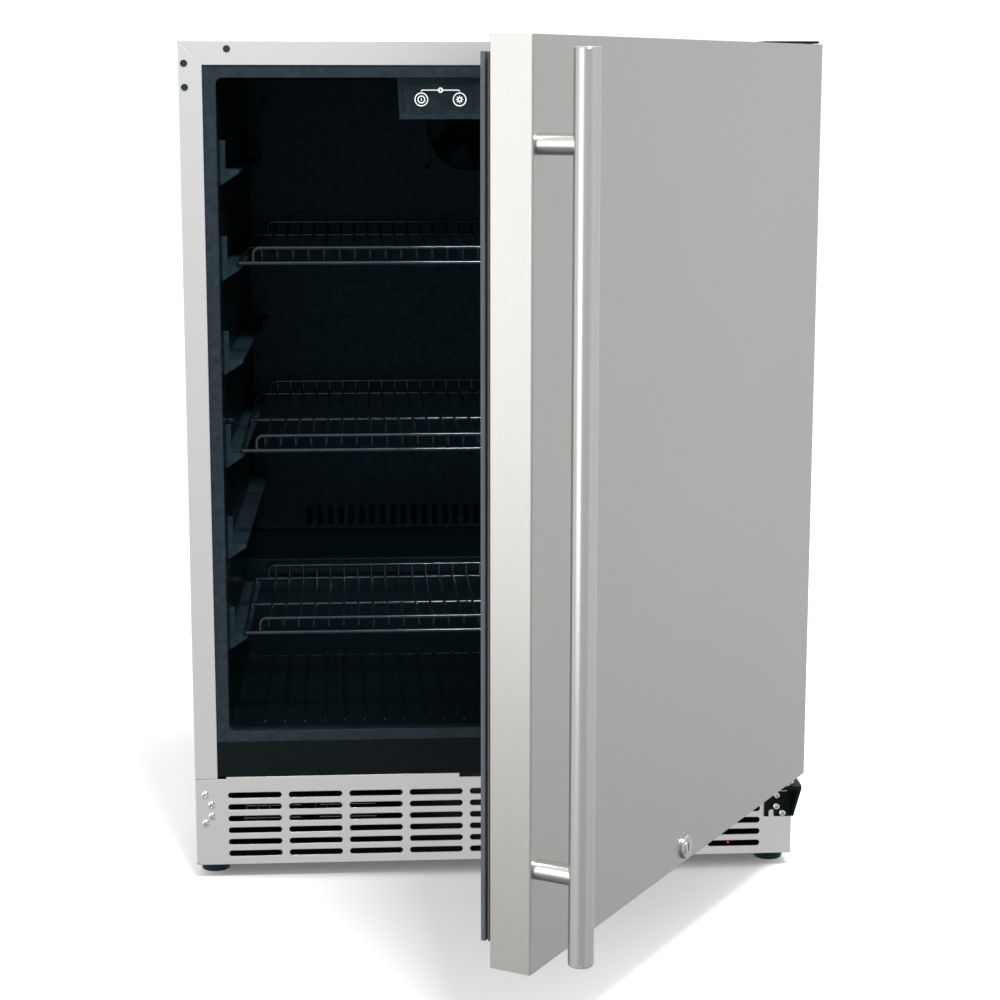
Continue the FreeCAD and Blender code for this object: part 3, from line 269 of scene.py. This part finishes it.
def bright(name, colour, roughness):
    """Plated or polished metal, with faint rubbing marks."""
    paint = Paint(name, colour, metallic=1.0)
    marks = paint.noise(even(120.0), 3.0, 0.6)
    paint.rough(marks, roughness, roughness + 0.1)
    paint.shades(marks, toned(colour, 0.9), colour)
    paint.bumps([], 0.3)
    return paint.material


def cabinet_screws(name, colour, dark):
    """Plated screws with painted shade in their sockets; past y = 400 mm, deep in the cavity, painted shade makes
    them near black.
    """
    paint = Paint(name, colour, metallic=1.0)
    # Painted shade: past y = 400 mm the screws take the dark colour.
    deep_shade = paint.beyond("Y", 400 * MM, 410 * MM)
    # Painted shade: ambient occlusion darkens the screws' sockets.
    openness = paint.tree.nodes.new("ShaderNodeAmbientOcclusion")
    openness.samples = 8
    openness.only_local = True
    openness.inputs["Distance"].default_value = 1.2 * MM
    socket_shade = paint.span(openness.outputs["AO"], 1.0, 0.0, 0.45, 0.85)
    outside = paint.mixed(socket_shade, colour, toned(colour, 0.05))
    paint.link(paint.mixed(deep_shade, outside, dark), paint.shader.inputs["Base Color"])
    paint.rough(deep_shade, 0.2, 0.5, 0.0, 1.0)
    paint.bumps([], 0.3)
    return paint.material


def coated_wire(name, colour):
    """Wire with a glossy black coating."""
    paint = Paint(name, colour, specular=0.6, sheen=wire_sheen)
    broad = paint.noise(even(60.0), 3.0, 0.6)
    paint.shades(broad, toned(colour, 0.8), toned(colour, 1.2))
    paint.rough(broad, 0.08, 0.14)
    return paint.material


def copper_pipe(name, colour):
    """Copper tube, darker where it is tarnished."""
    paint = Paint(name, colour, metallic=1.0)
    tarnish = paint.noise(even(40.0), 4.0, 0.6)
    paint.shades(tarnish, toned(colour, 0.55), colour)
    paint.rough(tarnish, 0.25, 0.5)
    return paint.material


def gasket_rubber(name, colour):
    """Soft rubber with a slightly uneven skin."""
    paint = Paint(name, colour)
    skin = paint.noise(even(300.0), 2.0, 0.5)
    paint.shades(skin, colour, toned(colour, 1.3))
    paint.rough(skin, 0.45, 0.62)
    paint.bumps([(skin, 0.15, 0.08)])
    return paint.material


def foam_block(name, colour):
    """Rigid foam with open cells at its surface."""
    paint = Paint(name, colour, roughness=0.9)
    cells = paint.cells(600.0).outputs["Distance"]
    paint.shades(cells, toned(colour, 0.8), colour, 0.1, 0.6)
    paint.bumps([(cells, 0.6, 0.4)])
    return paint.material


def frosted_lens(name, colour):
    """Frosted plastic over a lamp."""
    paint = Paint(name, colour)
    frost = paint.noise(even(500.0), 2.0, 0.5)
    paint.rough(frost, 0.25, 0.45)
    paint.bumps([(frost, 0.2, 0.05)])
    return paint.material


def led(name, colour, tip):
    """A lamp that glows only at its front tip, in front of y = tip."""
    paint = Paint(name, toned(colour, 0.04))
    paint.set("Emission Color", (*colour, 1.0))
    body = paint.beyond("Y", tip - 0.5 * MM, tip)
    paint.link(paint.span(body, 1.3, 0.0, 0.0, 1.0), paint.shader.inputs["Emission Strength"])
    frost = paint.noise(even(400.0), 2.0, 0.5)
    paint.rough(frost, 0.2, 0.3)
    return paint.material


def print_ink(name, colour, glow):
    """Screen-printed ink, slightly uneven, with a faint glow that is painted light."""
    paint = Paint(name, colour, roughness=0.4)
    body = paint.noise(even(900.0), 2.0, 0.5)
    paint.shades(body, toned(colour, 0.92), colour)
    # Painted light: the glow brightens the print.
    paint.glow(colour, glow)
    return paint.material


# ---- materials, one for each slot ----------------------------------------------------------------
upright_grain = (1500.0, 1500.0, 60.0)
level_grain = (60.0, 1500.0, 1500.0)
warm_steel = (0.485, 0.475, 0.462)
pale_steel = (0.84, 0.838, 0.835)
dull_steel = (0.40, 0.398, 0.394)
bar_steel = (0.56, 0.55, 0.54)
# Painted shade: the liner's darker colour deep in the cavity.
deep_shade_blue = (0.0022, 0.0055, 0.0062)
rim_blue = (0.0135, 0.0175, 0.0220)
fan_black = (0.002, 0.003, 0.004)
near_black = (0.006, 0.006, 0.007)
# Painted shade for the bottom plate and control box behind the louvres.
compartment_shade_grey = (0.010, 0.010, 0.011)
coil_black = (0.004, 0.004, 0.004)
led_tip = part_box("indicator_lamp")[0].y + 0.6 * MM

handle_steel = brushed("handle_steel", bar_steel, 0.22, upright_grain, 0.03)
paints = {
    "brushed_stainless": brushed("brushed_stainless", warm_steel, 0.33, upright_grain),
    "satin_stainless": brushed("satin_stainless", pale_steel, 0.32, upright_grain, 0.02),
    "galvanised_steel": galvanised("galvanised_steel", (0.56, 0.57, 0.58)),
    "black_steel": powder_coat("black_steel", (0.0025, 0.0050, 0.0060), 0.4, 0.08),
    "machine_black": powder_coat("machine_black", (0.005, 0.005, 0.006), 0.35, 0.3),
    "bright_screw": bright("bright_screw", (0.58, 0.58, 0.59), 0.15),
    "shelf_wire": coated_wire("shelf_wire", (0.006, 0.010, 0.012)),
    "black_liner": liner_plastic("black_liner", rim_blue, deep_shade_blue),
    "black_plastic": moulded("black_plastic", (0.0115, 0.0225, 0.0285), 0.45, 0.35, 0.14),
    "foam": foam_block("foam", (0.80, 0.72, 0.48)),
    "gasket_rubber": gasket_rubber("gasket_rubber", (0.045, 0.053, 0.062)),
    "aluminium": bright("aluminium", (0.78, 0.79, 0.80), 0.3),
    "copper": copper_pipe("copper", (0.80, 0.42, 0.27)),
    "board": moulded("board", (0.01, 0.09, 0.035), 0.4, 0.1, 0.4, sheen=white),
    "lens": frosted_lens("lens", (0.80, 0.84, 0.88)),
    "red_lamp": led("red_lamp", (1.0, 0.03, 0.02), led_tip),
    "white_nylon": moulded("white_nylon", (0.75, 0.75, 0.72), 0.4, 0.04, 0.4, sheen=white),
    "fan_plastic": moulded("fan_plastic", (0.003, 0.004, 0.005), 0.6, 0.1, 0.1),
}
# Nodes whose finish differs from their slot in brushing direction or in tone; some tones below are painted shade,
# marked where they stand.
own_paints = {
    "top_panel": casing_sheet("top_sheet", pale_steel, dull_steel, level_grain),
    "left_side_panel": casing_sheet("left_sheet", pale_steel, dull_steel, upright_grain),
    "right_side_panel": casing_sheet("right_sheet", pale_steel, dull_steel, upright_grain),
    "kick_plate": brushed("plinth_sheet", pale_steel, 0.32, level_grain, 0.02),
    # The second colour is painted shade for the screws deep in the cavity.
    "panel_screws": cabinet_screws("cabinet_screws", (0.80, 0.80, 0.81), (0.003, 0.004, 0.005)),
    "handle_bar": handle_steel,
    "handle_caps": handle_steel,
    "control_overlay": moulded("control_overlay", (0.020, 0.026, 0.031), 0.36, 0.3, 0.25),
    "control_housing": moulded("control_housing", (0.011, 0.018, 0.022), 0.30, 0.3, 0.4, 1.2),
    "rear_duct_panel": moulded("duct_plastic", (0.0065, 0.0150, 0.0190), 0.42, 0.45, 0.16, 1.0),
    "circulation_fan": moulded("fan_wheel", fan_black, 0.6, 0.1, 0.05),
    "fan_motor": moulded("fan_motor", fan_black, 0.6, 0.1, 0.05),
    "drip_tray": moulded("tray_black", near_black, 0.5, 0.2, 0.2),
    # Painted shade: the base pan, bottom plate and control box behind the louvres are painted near black.
    "base_pan": powder_coat("pan_shaded", near_black),
    "bottom_plate": powder_coat("plate_shaded", compartment_shade_grey),
    "control_box": powder_coat("box_shaded", compartment_shade_grey),
    "condenser_fan_frame": powder_coat("frame_black", coil_black),
    "condenser": powder_coat("condenser_black", coil_black, 0.35, 0.5),
}
# Painted light: the white ink glows at strength 0.45.
white_ink = print_ink("white_ink", (0.90, 0.92, 0.94), 0.45)
dark_mark = moulded("dark_mark", fan_black, 0.6, 0.1, 0.1, 0.0)
display_glass = moulded("display_glass", (0.004, 0.004, 0.005), 0.08, 0.1, 0.5, 0.2)


def paint_nodes():
    """Gives each CAD piece its own paint, or the paint of its slot."""
    for row in frame["record"]["subparts"]:
        materials = nodes[row["node"]].data.materials
        materials.clear()
        materials.append(own_paints.get(row["node"]) or paints[row["material_slot"]])


# ---- mesh helpers --------------------------------------------------------------------------------
def piece(name, mesh, material, body, slot, *replaced):
    """Puts a finished mesh into the scene as one piece that rides on a body."""
    obj = bpy.data.objects.new(name, mesh)
    bpy.context.scene.collection.objects.link(obj)
    mesh.materials.append(material)
    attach(obj, body)
    if replaced:
        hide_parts(*replaced)


def mesh_from(name, build):
    """A mesh made by a function that fills a bmesh."""
    mesh = bpy.data.meshes.new(name)
    work = bmesh.new()
    build(work)
    bmesh.ops.recalc_face_normals(work, faces=work.faces)
    work.to_mesh(mesh)
    work.free()
    return mesh


def smooth(mesh, angle=35.0):
    """Smooth shading, with edges sharper than the angle kept."""
    mesh.shade_smooth()
    mesh.set_sharp_from_angle(angle=math.radians(angle))


def arc(centre, radii, start, end, count=6):
    """Points on part of an ellipse, from one angle to another in degrees."""
    points = []
    for i in range(count):
        a = math.radians(start + (end - start) * i / (count - 1))
        points.append((centre[0] + radii[0] * math.cos(a), centre[1] + radii[1] * math.sin(a)))
    return points


def round_ring(work, x, y, z, radius, count, place=Matrix()):
    """A ring of vertices about an axis along y, carried by a matrix."""
    ring = []
    for i in range(count):
        a = math.tau * i / count
        corner = Vector((x + radius * math.cos(a), y, z + radius * math.sin(a)))
        ring.append(work.verts.new(place @ corner))
    return ring


def bridge(work, rings, capped=True):
    """Walls between closed rings of vertices, one after another, and a cap at each end."""
    count = len(rings[0])
    for ring, after in zip(rings, rings[1:]):
        for i in range(count):
            j = (i + 1) % count
            work.faces.new((ring[i], ring[j], after[j], after[i]))
    if capped:
        work.faces.new(rings[0])
        work.faces.new(rings[-1])


# ---- door gasket ---------------------------------------------------------------------------------
def bellows_flank(deep):
    """One flank of the seal's section, as (inward, outward) points up from the door's face."""
    foot = 2.4 * MM
    foot_edge = 1.2 * MM
    neck = 3.4 * MM
    neck_low = 1.6 * MM
    pleat = 1.25 * MM
    pleat_inset = 0.3 * MM
    pleat_middle = 5.6 * MM
    pocket = deep - 4.2 * MM
    corner = 0.8 * MM
    flank = [(foot, 0.0), (foot, foot_edge), (neck, neck_low), (neck, pleat_middle - pleat)]
    flank += arc((pleat + pleat_inset, pleat_middle), (pleat, pleat), 270, 90, 9)
    flank += [(neck, pleat_middle + pleat), (neck, pocket)]
    flank += arc((corner, pocket + corner), (corner, corner), 270, 180)
    flank += arc((corner, deep - corner), (corner, corner), 180, 90)
    return flank


def swept_frame(work, outline, low, high, plane):
    """Sweeps a section round a rectangle in x and z, mitred at its corners, inward from its edge."""
    corners = (
        (low.x, low.z, 1, 1),
        (high.x, low.z, -1, 1),
        (high.x, high.z, -1, -1),
        (low.x, high.z, 1, -1),
    )
    rings = []
    for x, z, inward_x, inward_z in corners:
        ring = []
        for inward, outward in outline:
            place = Vector((x + inward_x * inward, plane + outward, z + inward_z * inward))
            ring.append(work.verts.new(open_door @ place))
        rings.append(ring)
    bridge(work, rings + rings[:1], capped=False)


def make_gasket():
    """The bellows seal: a foot, a pleat and a pocket for the magnet strip, mitred at the corners."""
    low, high = shut_box("door_gasket")
    flank = bellows_flank(high.y - low.y)
    wide = 20 * MM
    outline = flank + [(wide - u, v) for u, v in reversed(flank)]
    mesh = mesh_from("door_seal", lambda work: swept_frame(work, outline, low, high, low.y))
    smooth(mesh, 50.0)
    piece("door_seal", mesh, paints["gasket_rubber"], "door", "gasket_rubber", "door_gasket")


# ---- handle posts --------------------------------------------------------------------------------
def make_posts():
    """One round bar from the door's face to the handle bar at each of its two heights."""
    low, high = shut_box("handle_posts")
    collar = (high.x - low.x) / 2
    radius = 8 * MM
    x = (low.x + high.x) / 2

    def build(work):
        for z in (low.z + collar, high.z - collar):
            ends = (high.y, high.y - 0.2 * MM, low.y)
            bridge(work, [round_ring(work, x, y, z, radius, 32, open_door) for y in ends])

    mesh = mesh_from("post_bars", build)
    smooth(mesh)
    piece("post_bars", mesh, handle_steel, "door", "brushed_stainless", "handle_posts")


# ---- printed icons on the control overlay and its buttons ----------------------------------------
icon_thick = 0.12 * MM
icon_proud = icon_thick * 0.9
icon_outer = 6.6 * MM
icon_inner = 5.5 * MM
stroke = 0.9 * MM


def flat_ring(work, x, z, near, outer, inner, start=0.0, end=360.0, steps=48):
    """A flat ring or part of one, facing the front, with its face at y = near."""
    closed = end - start >= 360.0
    count = steps if closed else steps + 1
    rows = []
    for i in range(count):
        a = math.radians(start + (end - start) * i / steps)
        row = []
        for radius in (inner, outer):
            for y in (near, near + icon_thick):
                row.append(work.verts.new((x + radius * math.sin(a), y, z + radius * math.cos(a))))
        rows.append(row)
    pairs = zip(rows, rows[1:] + rows[:1]) if closed else zip(rows, rows[1:])
    for here, after in pairs:
        for a, b in ((0, 2), (2, 3), (3, 1), (1, 0)):
            work.faces.new((here[a], here[b], after[b], after[a]))
    if not closed:
        for row in (rows[0], rows[-1]):
            work.faces.new((row[0], row[2], row[3], row[1]))


def flat_bar(work, start, end, near, wide):
    """A flat bar between two (x, z) points, facing the front."""
    run = Vector((end[0] - start[0], 0.0, end[1] - start[1]))
    side = Vector((-run.z, 0.0, run.x)).normalized() * (wide / 2)
    rings = []
    for y in (near, near + icon_thick):
        ring = []
        for x, z, sign in ((*start, 1), (*end, 1), (*end, -1), (*start, -1)):
            ring.append(work.verts.new((x + side.x * sign, y, z + side.z * sign)))
        rings.append(ring)
    bridge(work, rings)


def button_centre(node):
    """The middle of a button in x and z, and the face of the icon printed on it in y."""
    low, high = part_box(node)
    return (low.x + high.x) / 2, (low.z + high.z) / 2, low.y - icon_proud


def power_icon(work, x, z, near):
    half_bar = 1.4 * MM
    flat_ring(work, x, z, near, icon_outer, icon_inner)
    flat_ring(work, x, z, near, 3.8 * MM, 2.7 * MM)
    flat_bar(work, (x, z - half_bar), (x, z + half_bar), near, stroke)


def light_icon(work, x, z, near):
    rays = 8
    ray_start = 2.2 * MM
    ray_end = 3.6 * MM
    flat_ring(work, x, z, near, icon_outer, icon_inner)
    flat_ring(work, x, z, near, 2.3 * MM, 1.1 * MM)
    for i in range(rays):
        a = math.tau * i / rays
        across, up = math.sin(a), math.cos(a)
        inner = (x + ray_start * across, z + ray_start * up)
        outer = (x + ray_end * across, z + ray_end * up)
        flat_bar(work, inner, outer, near, stroke)


def arrow_icon(rise):
    """A chevron that points up for a positive rise and down for a negative one."""
    reach = 2.6 * MM

    def build(work, x, z, near):
        flat_ring(work, x, z, near, icon_outer, icon_inner)
        flat_bar(work, (x - reach, z - rise), (x, z + rise), near, stroke)
        flat_bar(work, (x + reach, z - rise), (x, z + rise), near, stroke)

    return build


def make_icons():
    """One icon on each button, moving with it."""
    chevron_rise = 1.6 * MM
    icons = {
        "power_button": power_icon,
        "light_button": light_icon,
        "warmer_button": arrow_icon(chevron_rise),
        "colder_button": arrow_icon(-chevron_rise),
    }
    for button, draw in icons.items():
        x, z, near = button_centre(button)
        mesh = mesh_from(button + "_icon", lambda work: draw(work, x, z, near))
        piece(button + "_icon", mesh, white_ink, button, "black_plastic")


def make_overlay_print():
    """The line that joins each pair of icons, with a dot at its middle."""
    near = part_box("control_overlay")[0].y - icon_proud
    rail_rise = 8.8 * MM
    wide = 1.0 * MM
    turn = 1.5 * MM
    dot = 2.6 * MM
    dot_hole = 0.9 * MM
    gap = 2.4 * MM

    def build(work):
        for pair in (("power_button", "light_button"), ("warmer_button", "colder_button")):
            left, z, _ = button_centre(pair[0])
            right = button_centre(pair[1])[0]
            rail = z + rail_rise
            middle = (left + right) / 2
            outer = turn + wide / 2
            inner = turn - wide / 2
            flat_bar(work, (left + turn, rail), (middle - gap, rail), near, wide)
            flat_bar(work, (middle + gap, rail), (right - turn, rail), near, wide)
            flat_ring(work, left + turn, rail - turn, near, outer, inner, 270, 360, 8)
            flat_ring(work, right - turn, rail - turn, near, outer, inner, 0, 90, 8)
            flat_ring(work, middle, rail, near, dot, dot_hole, steps=24)

    piece("overlay_print", mesh_from("overlay_print", build), white_ink, "cabinet", "black_plastic")


# ---- display and the marks beside the fan --------------------------------------------------------
def rounded_plate(work, half_x, half_z, corner, x, z, near, thick):
    """A flat plate with round corners that faces the front, its face at y = near."""
    rim = []
    for turn, sx, sz in ((0, 1, 1), (90, -1, 1), (180, -1, -1), (270, 1, -1)):
        centre = (x + sx * (half_x - corner), z + sz * (half_z - corner))
        rim += arc(centre, (corner, corner), turn, turn + 90)
    bridge(work, [[work.verts.new((a, y, b)) for a, b in rim] for y in (near, near + thick)])


def make_display():
    """The dark window of the temperature display, between the two pairs of icons."""
    low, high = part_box("control_overlay")
    z = (low.z + high.z) / 2
    half_x, half_z, corner = 12 * MM, 8 * MM, 2 * MM
    proud = 0.4 * MM
    thick = 0.35 * MM

    def build(work):
        rounded_plate(work, half_x, half_z, corner, 0.0, z, low.y - proud, thick)

    mesh = mesh_from("display_window", build)
    piece("display_window", mesh, display_glass, "cabinet", "black_plastic")


def make_duct_marks():
    """The small screw and the short slot beside the fan's opening; the slot is a dark strip of painted shade."""
    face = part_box("rear_duct_panel")[0].y
    fan_x, _, fan_z = joints["circulation_fan_spin"]["pos_m"]
    x = fan_x - 50 * MM
    z = fan_z - 45.2 * MM
    # Radius and height above the panel, in mm, from the head's foot to the floor of its recess.
    head = ((3.2, 0.05), (3.2, 0.5), (2.7, 1.1), (1.8, 1.5), (1.1, 1.5), (0.9, 0.7))
    slot_start = (x + 3.5 * MM, z + 4 * MM)
    slot_end = (x + 8 * MM, z + 9 * MM)
    slot_wide = 1.6 * MM

    def build_screw(work):
        bridge(work, [round_ring(work, x, face - out * MM, z, r * MM, 24) for r, out in head])

    # Painted shade: the slot is a dark strip standing on the panel's face.
    def build_slot(work):
        flat_bar(work, slot_start, slot_end, face - 0.1 * MM, slot_wide)

    screw = mesh_from("fan_screw", build_screw)
    smooth(screw)
    piece("fan_screw", screw, dark_mark, "cabinet", "black_plastic")
    piece("fan_slot", mesh_from("fan_slot", build_slot), dark_mark, "cabinet", "black_plastic")


# ---- studio: floor, light, camera ----------------------------------------------------------------
def make_floor():
    """A plain pale floor that polished metal doesn't mirror."""
    half_size = 30.0

    def build(work):
        bmesh.ops.create_grid(work, x_segments=2, y_segments=2, size=half_size)

    mesh = mesh_from("floor", build)
    floor = bpy.data.objects.new("floor", mesh)
    bpy.context.scene.collection.objects.link(floor)
    paint = Paint("studio_floor", (0.92, 0.92, 0.92), roughness=0.8, specular=0.1)
    tone = paint.noise(even(2.0), 2.0, 0.5)
    paint.shades(tone, (0.91, 0.91, 0.91), (0.93, 0.93, 0.93))
    paint.glow(white, 0.12)
    mesh.materials.append(paint.material)
    floor.visible_glossy = False


def area_light(name, place, target, size, power):
    """A rectangular light at a place, turned to a target."""
    light = bpy.data.lights.new(name, "AREA")
    light.shape = "RECTANGLE"
    light.size, light.size_y = size
    light.energy = power
    obj = bpy.data.objects.new(name, light)
    bpy.context.scene.collection.objects.link(obj)
    obj.location = place
    obj.rotation_euler = (Vector(target) - Vector(place)).to_track_quat("-Z", "Y").to_euler()


def make_world():
    """Soft light from all round: brightest above, dimmer from below, in front and behind on the right."""
    world = bpy.data.worlds.new("studio")
    bpy.context.scene.world = world
    world.use_nodes = True
    tree = world.node_tree
    background = tree.nodes["Background"]
    above = 1.2
    backdrop = 1.1

    def ramp(value, start, end, low, high, smooth_step=True):
        """A value carried from start..end to low..high, held past both ends."""
        node = tree.nodes.new("ShaderNodeMapRange")
        for name, number in zip(("From Min", "From Max", "To Min", "To Max"), (start, end, low, high)):
            node.inputs[name].default_value = number
        if smooth_step:
            node.interpolation_type = "SMOOTHSTEP"
        tree.links.new(value, node.inputs["Value"])
        return node.outputs["Result"]

    def dot(direction, axis):
        """How far a direction points along an axis."""
        node = tree.nodes.new("ShaderNodeVectorMath")
        node.operation = "DOT_PRODUCT"
        tree.links.new(direction, node.inputs[0])
        node.inputs[1].default_value = axis
        return node.outputs["Value"]

    def product(first, second):
        node = tree.nodes.new("ShaderNodeMath")
        node.operation = "MULTIPLY"
        tree.links.new(first, node.inputs[0])
        tree.links.new(second, node.inputs[1])
        return node.outputs["Value"]

    def between(factor, level, other):
        node = tree.nodes.new("ShaderNodeMix")
        tree.links.new(factor, node.inputs["Factor"])
        tree.links.new(level, node.inputs["A"])
        node.inputs["B"].default_value = other
        return node.outputs["Result"]

    direction = tree.nodes.new("ShaderNodeTexCoord").outputs["Generated"]
    upward = dot(direction, (0.0, 0.0, 1.0))
    around = ramp(dot(direction, (0.86, 0.5, 0.0)), -1.0, 1.0, 1.05, 0.86, smooth_step=False)
    below = ramp(upward, -0.75, -0.12, 0.3, 1.0)
    front = ramp(dot(direction, (0.0, -1.0, 0.0)), 0.65, 0.95, 1.0, 0.74)
    level = between(ramp(upward, 0.15, 0.6, 0.0, 1.0), product(product(around, below), front), above)
    seen = tree.nodes.new("ShaderNodeLightPath").outputs["Is Camera Ray"]
    tree.links.new(between(seen, level, backdrop), background.inputs["Strength"])
    background.inputs["Color"].default_value = (*white, 1.0)


def make_studio():
    """The world's light, a tall soft box on the left and a small one above for the wires' glints."""
    make_world()
    area_light("key", (-2.3, -2.2, 0.95), (-0.05, -0.3, 0.5), (1.9, 2.6), 20.5)
    area_light("shelf_glint", (0.36, -1.5, 2.5), (-0.05, 0.1, 0.4), (0.7, 0.2), 80.0)
    bpy.context.scene.view_settings.view_transform = "Standard"


def make_camera():
    """The camera, in front and a little left of the middle, looking slightly down."""
    place = Vector((-0.1410, -2.1897, 0.7856))
    yaw, pitch, roll = 0.065876, 0.182214, 0.000822
    lens = 82.34
    sensor = 36.0
    level = math.cos(pitch)
    ahead = Vector((math.sin(yaw) * level, math.cos(yaw) * level, -math.sin(pitch)))
    right = Vector((math.cos(yaw), -math.sin(yaw), 0.0))
    up = right.cross(ahead)
    across = right * math.cos(roll) + up * math.sin(roll)
    upward = up * math.cos(roll) - right * math.sin(roll)
    turn = Matrix((across, upward, -ahead)).transposed().to_4x4()
    data = bpy.data.cameras.new("camera")
    data.sensor_width = sensor
    data.lens = lens
    data.clip_end = 100.0
    camera = bpy.data.objects.new("camera", data)
    bpy.context.scene.collection.objects.link(camera)
    camera.matrix_world = Matrix.Translation(place) @ turn
    bpy.context.scene.camera = camera


paint_nodes()
make_gasket()
make_posts()
make_icons()
make_overlay_print()
make_display()
make_duct_marks()
make_floor()
make_studio()
make_camera()
